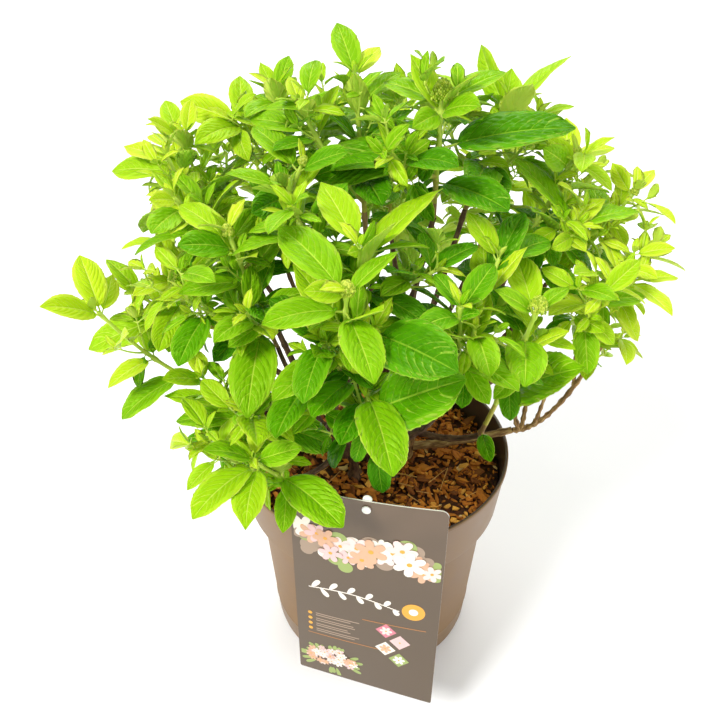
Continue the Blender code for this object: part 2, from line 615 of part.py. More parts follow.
def card_columns():
    """(x, corner drop) across the card, close together round its corners."""
    half = 0.5 * CARD_WIDTH
    corner = []
    for k in range(CARD_CORNER_STEPS + 1):
        angle = 0.5 * math.pi * k / CARD_CORNER_STEPS
        corner.append((-half + CARD_CORNER * (1.0 - math.cos(angle)),
                       CARD_CORNER * (1.0 - math.sin(angle))))
    inner = half - CARD_CORNER
    middle = [(-inner + 2.0 * inner * k / CARD_MIDDLE_STEPS, 0.0)
              for k in range(1, CARD_MIDDLE_STEPS)]
    return corner + middle + [(-x, drop) for x, drop in reversed(corner)]


def build_card():
    """The card: rounded corners, bowed outwards across its width, holed near its top."""
    columns = card_columns()
    half = 0.5 * CARD_WIDTH
    vertices = []
    for x, drop in columns:
        bow = CARD_BOW * (1.0 - (x / half) ** 2) - CARD_BOW
        for y, z in ((-drop, bow), (-CARD_HEIGHT + drop, bow),
                     (-CARD_HEIGHT + drop, bow - CARD_THICKNESS), (-drop, bow - CARD_THICKNESS)):
            vertices.append(card_frame(0.0) @ Vector((x, y, z)))
    faces = [(3, 2, 1, 0)]
    for k in range(len(columns) - 1):
        for side in range(4):
            nxt = (side + 1) % 4
            faces.append((4 * k + side, 4 * k + nxt, 4 * k + 4 + nxt, 4 * k + 4 + side))
    end = 4 * (len(columns) - 1)
    faces.append((end, end + 1, end + 2, end + 3))
    card = add_object("plant_label", vertices, faces, "label_card")
    drill = disc("card_drill", CARD_HOLE_RADIUS, 10.0 * CARD_THICKNESS,
                 card_frame(CARD_HOLE_DROP), "label_card", BUTTON_SIDES)
    apply_boolean(card, "DIFFERENCE", [drill])
    shade_round(card, SHARP_ANGLE)


def build_stake():
    """The stake: a strip from the soil to a head behind the card, pinned through its hole."""
    back = -CARD_THICKNESS - GAP - 0.5 * STAKE_THICKNESS
    head_frame = card_frame(-HEAD_RISE + HEAD_RADIUS, back)
    foot = STAKE_FOOT + Vector((0.0, 0.0, SOIL_LEVEL + GAP))
    head = (card_frame(CARD_HOLE_DROP, back)).translation
    side = (head_frame.to_3x3() @ Vector((1.0, 0.0, 0.0))).normalized()
    face = side.cross((head - foot).normalized())
    vertices = []
    for place in (foot, head):
        for across, out in ((-1, -1), (1, -1), (1, 1), (-1, 1)):
            point = place + side * (0.5 * across * STAKE_WIDTH)
            point += face * (0.5 * out * STAKE_THICKNESS)
            if place is foot:
                slope = (head - foot).normalized()
                point += slope * ((foot.z - point.z) / slope.z)
            vertices.append(point)
    faces = [(3, 2, 1, 0), (4, 5, 6, 7)]
    for k in range(4):
        nxt = (k + 1) % 4
        faces.append((k, nxt, 4 + nxt, 4 + k))
    stake = add_object("label_stake", vertices, faces, "white_plastic")
    front = GAP + 0.5 * BUTTON_THICKNESS
    pin_length = front - back
    plate = disc("stake_head", HEAD_RADIUS, STAKE_THICKNESS, head_frame, "white_plastic",
                 BUTTON_SIDES)
    pin = disc("stake_pin", PIN_RADIUS, pin_length,
               card_frame(CARD_HOLE_DROP, back + 0.5 * pin_length), "white_plastic", HOLE_SIDES)
    button = disc("stake_button", BUTTON_RADIUS, BUTTON_THICKNESS,
                  card_frame(CARD_HOLE_DROP, front), "white_plastic", BUTTON_SIDES)
    apply_boolean(stake, "UNION", [plate, pin, button])
    shade_round(stake, SHARP_ANGLE)


# Limbs and shoots

class Path:
    """A curve from foot to tip through one control point, with a tapering radius."""

    def __init__(self, foot, control, tip, foot_radius, tip_radius, flare=0.0):
        self.foot = foot
        self.control = control
        self.tip = tip
        self.foot_radius = foot_radius
        self.tip_radius = tip_radius
        self.flare = flare
        self.span = (tip - foot).length

    def point(self, t):
        """The point at share t of the way."""
        start = self.foot.lerp(self.control, t)
        return start.lerp(self.control.lerp(self.tip, t), t)

    def on_runs(self, t, steps):
        """The point at share t of the straight runs between its rings."""
        run = min(int(t * steps), steps - 1)
        return self.point(run / steps).lerp(self.point((run + 1) / steps), t * steps - run)

    def heading(self, t):
        """The unit direction at share t."""
        away = (self.control - self.foot).lerp(self.tip - self.control, t)
        return away.normalized()

    def radius(self, t):
        """The radius at share t, swollen at a flared foot."""
        swell = 1.0 + self.flare * math.exp(-t * self.span / FLARE_HEIGHT)
        return (self.foot_radius + t * (self.tip_radius - self.foot_radius)) * swell


def bowed(foot, tip, bow):
    """The control point of a limb whose middle is lifted by a share of its length."""
    return foot.lerp(tip, 0.5) + UP * (2.0 * bow * (tip - foot).length)


def tube(path, sides, steps, fullness=1.0):
    """Vertices and faces of a closed round limb along its path."""
    across = path.heading(0.0).orthogonal().normalized()
    if path.heading(0.0).z > NEARLY_UPRIGHT:
        across = Vector((1.0, 0.0, 0.0))
    vertices = []
    for k in range(steps + 1):
        t = k / steps
        ahead = path.heading(t)
        across = (across - ahead * across.dot(ahead)).normalized()
        beside = ahead.cross(across)
        reach = path.radius(t) * fullness
        for side in range(sides):
            angle = math.tau * side / sides
            spoke = across * math.cos(angle) + beside * math.sin(angle)
            vertices.append(path.point(t) + spoke * reach)
    faces = [tuple(reversed(range(sides)))]
    for k in range(steps):
        for side in range(sides):
            nxt = (side + 1) % sides
            low = k * sides
            faces.append((low + side, low + nxt, low + sides + nxt, low + sides + side))
    faces.append(tuple(range(steps * sides, (steps + 1) * sides)))
    return vertices, faces


def joint_offset(parent, along, child_heading, child_radius):
    """How far along its own heading a limb starts from its parent's axis, to stay clear."""
    ahead = parent.heading(along)
    cosine = max(-1.0, min(1.0, ahead.dot(child_heading)))
    sine = math.sqrt(1.0 - cosine * cosine)
    if along >= 1.0:
        return GAP + parent.tip_radius * sine
    return (parent.radius(along) + GAP + child_radius * abs(cosine)) / max(sine, LEAST_SINE)


def stem_path(limb):
    """A stem's path: upright at its flat cut on the soil, then leaning to its tip."""
    foot = Vector((*limb.foot, 0.0)) * MM + UP * (SOIL_LEVEL + GAP)
    tip = Vector(limb.tip) * MM
    control = foot.lerp(tip, 0.5)
    control.x = foot.x
    control.y = foot.y
    return Path(foot, control, tip, limb.foot_radius * MM, limb.tip_radius * MM, FLARE)


def branch_path(parent, along, tip, bow, foot_radius, tip_radius):
    """A limb's path from the surface of its parent to its own tip."""
    start = parent.point(along)
    heading = (bowed(start, tip, bow) - start).normalized()
    for _ in range(3):
        foot = start + heading * joint_offset(parent, along, heading, foot_radius)
        control = bowed(foot, tip, bow)
        heading = (control - foot).normalized()
    return Path(foot, control, tip, foot_radius, tip_radius)


def limb_paths():
    """The path of each stem and bough by name."""
    paths = {}
    for limb in STEMS:
        paths[limb.name] = stem_path(limb)
    for limb in BOUGHS:
        paths[limb.name] = branch_path(paths[limb.parent], limb.along, Vector(limb.tip) * MM,
                                       limb.bow, limb.foot_radius * MM, limb.tip_radius * MM)
    return paths


def shoot_paths(mass, paths):
    """Each shoot of a mass with its path: the main one butts its bough, the rest leave it."""
    bough = paths[mass.bough]
    main = mass.shoots[0]
    radius = bough.tip_radius
    trunk = branch_path(bough, 1.0, Vector(main.tip) * MM, main.bow, radius, radius * TWIG_TIP)
    grown = [(main, trunk)]
    for shoot in mass.shoots[1:]:
        foot = trunk.on_runs(shoot.along, TWIG_STEPS)
        tip = Vector(shoot.tip) * MM
        foot_radius = trunk.radius(shoot.along) * SIDE_TWIG
        path = Path(foot, bowed(foot, tip, shoot.bow), tip, foot_radius, foot_radius * TWIG_TIP)
        grown.append((shoot, path))
    return grown


def twig_solid(path, swell=0.0):
    """Vertices and faces of a shoot."""
    return tube(path, TWIG_SIDES, TWIG_STEPS, TWIG_FULLNESS + swell / path.tip_radius)


def bud_solid(shoot, path, swell=0.0):
    """Vertices and faces of the flower bud at a shoot's tip: a ring between two points."""
    ahead = path.heading(1.0)
    across = ahead.orthogonal().normalized()
    beside = ahead.cross(across)
    radius = 0.5 * shoot.bud * MM + swell
    middle = path.tip + ahead * (BUD_SEAT * radius)
    vertices = [middle - ahead * radius]
    for k in range(BUD_SIDES):
        angle = math.tau * k / BUD_SIDES
        vertices.append(middle + (across * math.cos(angle) + beside * math.sin(angle)) * radius)
    vertices.append(middle + ahead * (radius * BUD_POINT))
    last = BUD_SIDES + 1
    faces = []
    for k in range(BUD_SIDES):
        this = 1 + k
        nxt = 1 + (k + 1) % BUD_SIDES
        faces += [(0, nxt, this), (last, this, nxt)]
    return vertices, faces


# Leaves: root, then left and right at the widest and the shoulder, tip and keel

LEAF_FACES = [
    (0, 2, 1), (1, 2, 4), (1, 4, 3), (3, 4, 5),
    (0, 1, 6), (1, 3, 6), (3, 5, 6), (5, 4, 6), (4, 2, 6), (2, 0, 6),
]


def leaf_station(leaf, share):
    """Centre, heading and upper normal of a leaf at a share of its blade; below 0 the stalk."""
    stalk = leaf.length * PETIOLE
    if share <= 0.0:
        return leaf.root + leaf.ahead * (stalk * (1.0 + share)), leaf.ahead, leaf.above
    blade = leaf.length - stalk
    bend = leaf.curl * share
    radius = blade / leaf.curl
    centre = leaf.root + leaf.ahead * (stalk + radius * math.sin(bend))
    centre -= leaf.above * (radius * (1.0 - math.cos(bend)))
    ahead = leaf.ahead * math.cos(bend) - leaf.above * math.sin(bend)
    above = leaf.above * math.cos(bend) + leaf.ahead * math.sin(bend)
    return centre, ahead, above


def leaf_solid(leaf, start=None, swell=0.0):
    """Vertices and faces of a closed leaf: a hollowed blade over a keel, from root to tip."""
    if start is None:
        start = -1.0 - ROOT_SINK / (leaf.length * PETIOLE)
    root, ahead, above = leaf_station(leaf, start)
    half = 0.5 * leaf.length * (1.0 - PETIOLE) * LEAF_WIDTH
    raised = leaf.fold * FOLD_SHARE
    vertices = [root - ahead * swell]
    for share, width in ((WIDEST, half), (SHOULDER, half * SHOULDER_WIDTH)):
        centre, ahead, above = leaf_station(leaf, share)
        beside = ahead.cross(above)
        out = (width + swell) * math.cos(raised)
        rise = width * math.sin(raised) + swell
        vertices += [centre - beside * out + above * rise, centre + beside * out + above * rise]
    tip, ahead, above = leaf_station(leaf, 1.0)
    vertices.append(tip + ahead * swell)
    centre, ahead, above = leaf_station(leaf, KEEL_PLACE)
    vertices.append(centre - above * (leaf.length * LEAF_KEEL + swell))
    return vertices, LEAF_FACES


class Crowd:
    """The solids grown so far, against which each new leaf is tested."""

    def __init__(self):
        self.members = []

    def add(self, solid, owner, own_solid=None):
        """Add a solid; own_solid is what members of the same owner must stay clear of."""
        middle, reach, tree = self.measure(solid)
        own_tree = BVHTree.FromPolygons(*own_solid) if own_solid else tree
        self.members.append((middle, reach, tree, own_tree, owner))

    def blocks(self, solid, owner, own_solid=None):
        """Whether a new solid would touch a member; own_solid is tested in its own mass."""
        middle, reach, tree = self.measure(solid)
        own_tree = BVHTree.FromPolygons(*own_solid) if own_solid else None
        for other_middle, other_reach, other, other_own, other_owner in self.members:
            if (middle - other_middle).length > reach + other_reach:
                continue
            if other_owner != owner:
                if tree.overlap(other):
                    return True
            elif own_tree and own_tree.overlap(other_own):
                return True
        return False

    @staticmethod
    def measure(solid):
        """The middle, reach and search tree of a solid."""
        vertices = solid[0]
        middle = sum(vertices, Vector()) / len(vertices)
        reach = max((v - middle).length for v in vertices)
        return middle, reach, BVHTree.FromPolygons(*solid)


def quarter_turned(path, t, azimuth):
    """The direction out of a shoot at share t, at an azimuth about it from the +X side."""
    ahead = path.heading(t)
    level = Vector((1.0, 0.0, 0.0))
    level = (level - ahead * level.dot(ahead)).normalized()
    return Quaternion(ahead, azimuth) @ level


def pair_size(height, crest):
    """The share of its shoot's leaf length that a pair has at a height of 0 to 1."""
    if height < BROADEST_PAIR:
        return 1.0 - (1.0 - FIRST_PAIR) * (1.0 - height / BROADEST_PAIR) ** 2
    rest = (height - BROADEST_PAIR) / (1.0 - BROADEST_PAIR)
    return 1.0 - (1.0 - crest) * rest ** CREST_POWER


def leaf_of(path, t, height, azimuth, shoot, mood, effort):
    """The leaf at share t of a shoot, at a height of 0 to 1 among its pairs."""
    turn, lift, scale = effort
    rise, roll, stretch, more_curl, more_fold = mood
    out = quarter_turned(path, t, azimuth + math.radians(turn))
    ahead = path.heading(t)
    elevation = LOW_RISE + RISE_GAIN * height ** RISE_POWER + STRAY_RISE * rise + lift
    elevation = math.radians(elevation)
    heading = out * math.cos(elevation) + ahead * math.sin(elevation)
    sink = math.radians(shoot.droop) * (1.0 - SINK_LOSS * height)
    heading = (heading - UP * math.sin(sink)).normalized()
    sky = UP + out * SKY_OUT + ahead * (SKY_AHEAD + SKY_AHEAD_GAIN * height)
    above = (sky - heading * sky.dot(heading)).normalized()
    above = Quaternion(heading, math.radians(STRAY_ROLL * roll)) @ above
    length = shoot.leaf * MM * pair_size(height, shoot.crest)
    length *= (1.0 + STRAY_LENGTH * stretch) * scale
    curl = math.radians(LOW_CURL - CURL_LOSS * height + STRAY_CURL * more_curl)
    fold = math.radians(LOW_FOLD + FOLD_GAIN * height + STRAY_FOLD * more_fold)
    return Leaf(path.on_runs(t, TWIG_STEPS), heading, above, length, curl, fold)


def placed_leaf(path, row, roll):
    """A leaf placed by hand, with something added to its roll to find room."""
    azimuth = math.radians(row.azimuth)
    lift = math.radians(row.lift)
    level = Vector((math.cos(azimuth), math.sin(azimuth), 0.0))
    ahead = level * math.cos(lift) + UP * math.sin(lift)
    above = UP * math.cos(lift) - level * math.sin(lift)
    above = Quaternion(ahead, math.radians(row.roll + roll)) @ above
    root = path.on_runs(row.along, TWIG_STEPS)
    return Leaf(root, ahead, above, row.length * MM, math.radians(row.curl), PLACED_FOLD)


def fits(leaf, name, crowd):
    """Whether a leaf finds room in its mass; if so it is added to the crowd."""
    own = leaf_solid(leaf, start=OWN_START)
    if min(v.z for v in own[0]) < LOWEST_LEAF:
        return False
    solid = leaf_solid(leaf)
    swollen = leaf_solid(leaf, swell=LEAF_CLEARANCE)
    if crowd.blocks(swollen, name, own) or crowd.blocks(solid, name):
        return False
    crowd.add(solid, name, own)
    return True


def grow_placed(name, grown, crowd):
    """The placed leaves of a mass that find room, each rolled a little if it is crowded."""
    leaves = []
    for shoot, path in grown:
        for row in shoot.placed:
            for roll in ROLLS:
                leaf = placed_leaf(path, row, roll)
                if fits(leaf, name, crowd):
                    leaves.append(leaf)
                    break
    return leaves


def grow_leaves(name, grown, crowd, seed):
    """The leaves of a mass that find room: opposite pairs up each shoot."""
    rng = random.Random(seed)
    leaves = []
    for shoot, path in grown:
        for pair in range(shoot.pairs):
            height = pair / max(shoot.pairs - 1, 1)
            t = shoot.bare + (shoot.top - shoot.bare) * (1.0 - (1.0 - height) ** CROWDING)
            for side in range(2):
                azimuth = math.radians(shoot.turn + 90.0 * pair + 180.0 * side
                                       + rng.uniform(-STRAY_TURN, STRAY_TURN))
                mood = [rng.uniform(-1.0, 1.0) for _ in range(5)]
                for effort in TRIES:
                    leaf = leaf_of(path, t, height, azimuth, shoot, mood, effort)
                    if fits(leaf, name, crowd):
                        leaves.append(leaf)
                        break
    return leaves


def build_mass(name, grown, leaves):
    """One solid: the shoots, leaves and buds of a mass joined."""
    main = add_object(name, *twig_solid(grown[0][1]), "leaf")
    solids = [twig_solid(path) for _, path in grown[1:]]
    solids += [leaf_solid(leaf) for leaf in leaves]
    solids += [bud_solid(shoot, path) for shoot, path in grown if shoot.bud > 0.0]
    apply_boolean(main, "UNION", [add_object("sprig", *solid, "leaf") for solid in solids])


def solid_of(name):
    """Vertices and faces of an object."""
    mesh = bpy.data.objects[name].data
    return [v.co.copy() for v in mesh.vertices], [tuple(p.vertices) for p in mesh.polygons]


def build_limbs(crowd):
    """Every stem and bough, each added to the crowd; returns their paths by name."""
    paths = limb_paths()
    for limbs, sides, steps in ((STEMS, STEM_SIDES, STEM_STEPS), (BOUGHS, BOUGH_SIDES, BOUGH_STEPS)):
        for limb in limbs:
            solid = tube(paths[limb.name], sides, steps)
            shade_round(add_object(limb.name, *solid, "bark"), WOOD_SHARP_ANGLE)
            crowd.add(solid, limb.name)
    return paths


def grow_shoots(paths, crowd):
    """The shoots of every mass, less the side shoots and buds that would touch another part."""
    grown = {}
    for mass in MASSES:
        grown[mass.name] = []
        for shoot, path in shoot_paths(mass, paths):
            side_shoot = shoot is not mass.shoots[0]
            if side_shoot and crowd.blocks(twig_solid(path, LEAF_CLEARANCE), mass.name):
                continue
            crowd.add(twig_solid(path), mass.name)
            if shoot.bud > 0.0:
                if crowd.blocks(bud_solid(shoot, path, LEAF_CLEARANCE), mass.name):
                    shoot = shoot._replace(bud=0.0)
                else:
                    crowd.add(bud_solid(shoot, path), mass.name)
            grown[mass.name].append((shoot, path))
    return grown


def build_plant():
    """Stems and boughs, then every shoot, then the leaves that find room, mass by mass."""
    crowd = Crowd()
    for name in ("pot", "root_ball", "plant_label", "label_stake"):
        crowd.add(solid_of(name), name)
    paths = build_limbs(crowd)
    grown = grow_shoots(paths, crowd)
    leaves = {mass.name: grow_placed(mass.name, grown[mass.name], crowd) for mass in MASSES}
    for k, mass in enumerate(MASSES):
        leaves[mass.name] += grow_leaves(mass.name, grown[mass.name], crowd, SEED + k)
        build_mass(mass.name, grown[mass.name], leaves[mass.name])


def main():
    """Build the whole part."""
    for obj in list(bpy.data.objects):
        bpy.data.objects.remove(obj)
    build_pot()
    build_root_ball()
    build_card()
    build_stake()
    build_plant()


main()
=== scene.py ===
"""Looks of a potted hydrangea shrub: bark, leaves, buds, mulch, pot and plant label.

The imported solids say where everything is. The stems and boughs get bark with real relief,
and each mass of foliage is grown again by the rule that shaped its solid: the same shoots and
pairs of leaves, carried on to young leaves at the tips and small sprigs in the leaf axils.

Metres, +Z up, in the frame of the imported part.
"""
import sys
import json
import logging
from dataclasses import dataclass, field, replace
from enum import Enum
from functools import cache, cached_property
from math import ceil, cos, exp, hypot, pi, radians, sin, sqrt, tau
from random import Random
from typing import Any, ClassVar, Iterable, Mapping, NamedTuple, Sequence

import bpy
import numpy as np
from bpy.types import Material, Node, NodeSocket, Object
from mathutils import Matrix, Quaternion, Vector, noise
from mathutils.bvhtree import BVHTree

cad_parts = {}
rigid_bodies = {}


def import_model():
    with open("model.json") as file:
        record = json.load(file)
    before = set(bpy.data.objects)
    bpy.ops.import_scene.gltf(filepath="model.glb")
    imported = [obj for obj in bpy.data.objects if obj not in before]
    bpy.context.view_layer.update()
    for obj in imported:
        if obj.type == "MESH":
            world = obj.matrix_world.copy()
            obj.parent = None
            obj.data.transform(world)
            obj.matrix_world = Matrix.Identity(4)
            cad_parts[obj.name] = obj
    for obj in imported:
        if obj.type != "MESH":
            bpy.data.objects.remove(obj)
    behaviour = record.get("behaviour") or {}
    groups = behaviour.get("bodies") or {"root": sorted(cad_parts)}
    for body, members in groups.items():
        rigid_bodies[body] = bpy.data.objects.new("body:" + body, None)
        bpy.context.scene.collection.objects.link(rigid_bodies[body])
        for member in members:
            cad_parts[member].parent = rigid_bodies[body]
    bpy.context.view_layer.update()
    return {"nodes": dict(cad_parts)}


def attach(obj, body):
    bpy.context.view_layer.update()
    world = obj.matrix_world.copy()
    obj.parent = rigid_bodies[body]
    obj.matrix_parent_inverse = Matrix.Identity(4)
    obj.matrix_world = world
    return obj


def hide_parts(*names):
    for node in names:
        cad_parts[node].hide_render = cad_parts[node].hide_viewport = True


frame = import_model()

LOG = logging.getLogger("shrub")
BODY = "root"
MM = 0.001
GAP = 0.3 * MM
UP = Vector((0.0, 0.0, 1.0))


# ---- materials


def linear(hex_colour: str) -> tuple[float, ...]:
    """Turn an sRGB hex colour to linear red, green and blue with an alpha of 1.

    Args:
        hex_colour: Six hex digits after a "#".

    Returns:
        The four shares.
    """
    shares = [int(hex_colour[k:k + 2], 16) / 255.0 for k in (1, 3, 5)]
    return (*(s / 12.92 if s <= 0.04045 else ((s + 0.055) / 1.055) ** 2.4 for s in shares), 1.0)


def per_mm(size: float) -> float:
    """The scale of a pattern whose features are some millimetres apart."""
    return 1.0 / (size * MM)


def main_output(source: Node | NodeSocket) -> NodeSocket:
    """The first output in use of a node; a socket is taken as it is."""
    return source if isinstance(source, NodeSocket) else next(out for out in source.outputs if out.enabled)


def add_node(made: Material, kind: str, inputs: Mapping[str | int, Any], feeds: str = "",
             **settings: Any) -> Node:
    """Add a shader node with its settings and links.

    Args:
        made: The material whose tree gets the node.
        kind: The node's type, without its "ShaderNode" prefix.
        inputs: For each input, by name or number, its value or the node or socket linked to it.
        feeds: The input of the surface, or of the whole material, that the node is linked to.
        **settings: The node's attributes.

    Returns:
        The new node.
    """
    tree = made.node_tree
    node = tree.nodes.new("ShaderNode" + kind)
    for name, value in settings.items():
        setattr(node, name, value)
    for name, value in inputs.items():
        if isinstance(value, (Node, NodeSocket)):
            tree.links.new(main_output(value), node.inputs[name])
        else:
            node.inputs[name].default_value = value
    if feeds:
        end = tree.nodes["Material Output" if feeds == "Displacement" else "Principled BSDF"]
        tree.links.new(main_output(node), end.inputs[feeds])
    return node


def set_stops(ramp: Node, *stops: tuple[float, str]) -> None:
    """Give a colour ramp its stops.

    Args:
        ramp: The colour ramp node.
        *stops: Place and hex colour of each stop, from 0 to 1.
    """
    elements = ramp.color_ramp.elements
    while len(elements) > 1:
        elements.remove(elements[-1])
    elements[0].position, elements[0].color = stops[0][0], linear(stops[0][1])
    for place, colour in stops[1:]:
        elements.new(place).color = linear(colour)


@dataclass(frozen=True)
class Finish:
    """A surface: its name, colour and how it meets light. Subclasses add its pattern, laid out in
    the part's own frame or, for grown and broken shapes, along the grain of each."""

    name: str
    colour: str
    roughness: float = 0.5
    ior: float = 1.5
    subsurface: float = 0.0
    coat: float = 0.0
    specular: float = 0.5
    sheen_tone: str = "#FFFFFF"
    grained: ClassVar[bool] = False

    def material(self) -> Material:
        """The finish as a material, made on first use."""
        made = bpy.data.materials.get(self.name)
        if made is None:
            made = bpy.data.materials.new(self.name)
            made.use_nodes = True
            made.diffuse_color = linear(self.colour)
            values = {"Base Color": linear(self.colour), "Roughness": self.roughness, "IOR": self.ior,
                      "Coat Weight": self.coat, "Specular IOR Level": self.specular,
                      "Specular Tint": linear(self.sheen_tone)}
            if self.subsurface > 0.0:
                values |= {"Subsurface Weight": self.subsurface, "Subsurface Scale": 1.2 * MM,
                           "Subsurface Radius": (0.5, 1.0, 0.12)}
            shader = made.node_tree.nodes["Principled BSDF"]
            for name, value in values.items():
                shader.inputs[name].default_value = value
            if self.grained:
                place = add_node(made, "Attribute", {}, attribute_name="grain").outputs["Vector"]
            else:
                place = add_node(made, "TexCoord", {}).outputs["Object"]
            self.pattern(made, place)
        return made

    def pattern(self, made: Material, place: NodeSocket) -> None:
        """Add the finish's own pattern; the plain finish has none.

        Args:
            made: The material.
            place: Where each point lies in the pattern.
        """


@dataclass(frozen=True)
class MouldedPolypropylene(Finish):
    """Thermoformed polypropylene: satin, faintly mottled, with a fine grain that dulls its
    highlight, and dust that greys it towards the foot."""

    roughness: float = 0.42
    ior: float = 1.49
    mottle: str = "#83643E"
    grain_mm: float = 0.5
    mottle_mm: float = 45.0
    dust: str = "#71583D"
    dust_mm: float = 30.0
    speck_mm: float = 6.0

    def pattern(self, made: Material, place: NodeSocket) -> None:
        """Mottle the colour, dust the foot and grain the surface.

        Args:
            made: The material.
            place: Where each point lies in the pattern.
        """
        cloud = add_node(made, "TexNoise", {
            "Vector": place, "Scale": per_mm(self.mottle_mm), "Detail": 3.0, "Roughness": 0.55})
        tone = add_node(made, "ValToRGB", {"Fac": cloud})
        set_stops(tone, (0.35, self.colour), (0.68, self.mottle))
        rise = add_node(made, "SeparateXYZ", {0: place})
        low = add_node(made, "MapRange", {"Value": rise.outputs["Z"], "From Max": self.dust_mm * MM,
                                          "To Min": 0.5, "To Max": 0.0})
        specks = add_node(made, "TexNoise", {"Vector": place, "Scale": per_mm(self.speck_mm), "Detail": 4.0})
        dusty = add_node(made, "Math", {0: low, 1: specks}, operation="MULTIPLY")
        add_node(made, "Mix", {"Factor": dusty, "A": tone, "B": linear(self.dust)}, "Base Color",
                 data_type="RGBA")
        grain = add_node(made, "TexNoise", {"Vector": place, "Scale": per_mm(self.grain_mm), "Detail": 2.0})
        add_node(made, "MapRange", {"Value": cloud, "From Min": 0.3, "From Max": 0.7,
                                    "To Min": self.roughness - 0.06, "To Max": self.roughness + 0.06},
                 "Roughness")
        add_node(made, "Bump", {"Height": grain, "Strength": 0.25, "Distance": 0.1 * MM}, "Normal")


@dataclass(frozen=True)
class FibrousPeat(Finish):
    """Moist peat and bark dust: dark, crumbly and without shine, with paler fibres."""

    fibre: str = "#713B13"
    crumb_mm: float = 2.5

    def pattern(self, made: Material, place: NodeSocket) -> None:
        """Crumble the surface and vary its brown.

        Args:
            made: The material.
            place: Where each point lies in the pattern.
        """
        crumbs = add_node(made, "TexNoise", {
            "Vector": place, "Scale": per_mm(self.crumb_mm), "Detail": 6.0, "Roughness": 0.7})
        tone = add_node(made, "ValToRGB", {"Fac": crumbs}, "Base Color")
        set_stops(tone, (0.4, self.colour), (0.7, self.fibre))
        add_node(made, "Bump", {"Height": crumbs, "Strength": 0.8, "Distance": 1.0 * MM}, "Normal")


@dataclass(frozen=True)
class PineBark(Finish):
    """Chipped pine bark: matt, with torn fibres along each chip."""

    fibre_mm: float = 0.9
    grained: ClassVar[bool] = True

    def pattern(self, made: Material, place: NodeSocket) -> None:
        """Tear fine fibres into the chips.

        Args:
            made: The material.
            place: Where each point lies in the pattern.
        """
        fibres = add_node(made, "TexNoise", {"Vector": place, "Scale": per_mm(self.fibre_mm), "Detail": 3.0})
        add_node(made, "Displacement", {"Height": fibres, "Midlevel": 0.5, "Scale": 0.5 * MM}, "Displacement")


@dataclass(frozen=True)
class ShrubBark(Finish):
    """Bark of a young shrub: long fissures with pale ridges and small round lenticels."""

    # The default ridge and fissure are the darkened tones of the bark inside the crown: painted shade
    ridge: str = "#86694A"
    fissure: str = "#2E1D12"
    ridge_mm: float = 1.6
    stretch: float = 0.22
    pore_mm: float = 5.0
    grained: ClassVar[bool] = True

    def pattern(self, made: Material, place: NodeSocket) -> None:
        """Run ridges and fissures along the limb and dot it with lenticels.

        Args:
            made: The material.
            place: Where each point lies in the pattern.
        """
        along = add_node(made, "VectorMath", {0: place, 1: (1.0, 1.0, self.stretch)}, operation="MULTIPLY")
        ridges = add_node(made, "TexNoise", {
            "Vector": along, "Scale": per_mm(self.ridge_mm), "Detail": 5.0, "Roughness": 0.6})
        tone = add_node(made, "ValToRGB", {"Fac": ridges})
        set_stops(tone, (0.30, self.fissure), (0.5, self.colour), (0.72, self.ridge))
        pores = add_node(made, "TexVoronoi", {"Vector": place, "Scale": per_mm(self.pore_mm)})
        pore = add_node(made, "MapRange", {"Value": pores, "From Min": 0.10, "From Max": 0.16,
                                           "To Min": 0.55, "To Max": 0.0})
        add_node(made, "Mix", {"Factor": pore, "A": tone, "B": linear(self.ridge)}, "Base Color",
                 data_type="RGBA")
        add_node(made, "MapRange", {"Value": ridges, "To Min": self.roughness + 0.08,
                                    "To Max": self.roughness - 0.08}, "Roughness")
        add_node(made, "Bump", {"Height": ridges, "Strength": 0.7, "Distance": 0.4 * MM}, "Normal")


@dataclass(frozen=True)
class LeafSkin(Finish):
    """Waxy living leaf: satin, lets a little light through, puckered between its cross veins."""

    ior: float = 1.45
    subsurface: float = 0.25
    specular: float = 0.38
    sheen_tone: str = "#DCFF70"
    cell_mm: float = 2.2
    pucker: float = 0.9 * MM
    grained: ClassVar[bool] = True

    def pattern(self, made: Material, place: NodeSocket) -> None:
        """Pucker the skin between the cross veins, which run from side vein to side vein.

        Args:
            made: The material.
            place: Where each point lies in the pattern.
        """
        cells = add_node(made, "TexVoronoi", {
            "Vector": place, "Scale": per_mm(self.cell_mm), "Smoothness": 0.35}, feature="SMOOTH_F1")
        domes = add_node(made, "MapRange", {"Value": cells, "From Max": 0.8, "To Min": 1.0, "To Max": 0.0})
        add_node(made, "Displacement", {"Height": domes, "Midlevel": 0.5, "Scale": self.pucker}, "Displacement")


@dataclass(frozen=True)
class GreenStem(Finish):
    """Soft green shoot: smooth, faintly ribbed along its length."""

    ior: float = 1.45
    subsurface: float = 0.25
    rib_mm: float = 0.6
    grained: ClassVar[bool] = True

    def pattern(self, made: Material, place: NodeSocket) -> None:
        """Rib the shoot along its length.

        Args:
            made: The material.
            place: Where each point lies in the pattern.
        """
        along = add_node(made, "VectorMath", {0: place, 1: (1.0, 1.0, 0.15)}, operation="MULTIPLY")
        ribs = add_node(made, "TexNoise", {"Vector": along, "Scale": per_mm(self.rib_mm), "Detail": 2.0})
        add_node(made, "Displacement", {"Height": ribs, "Midlevel": 0.5, "Scale": 0.15 * MM}, "Displacement")


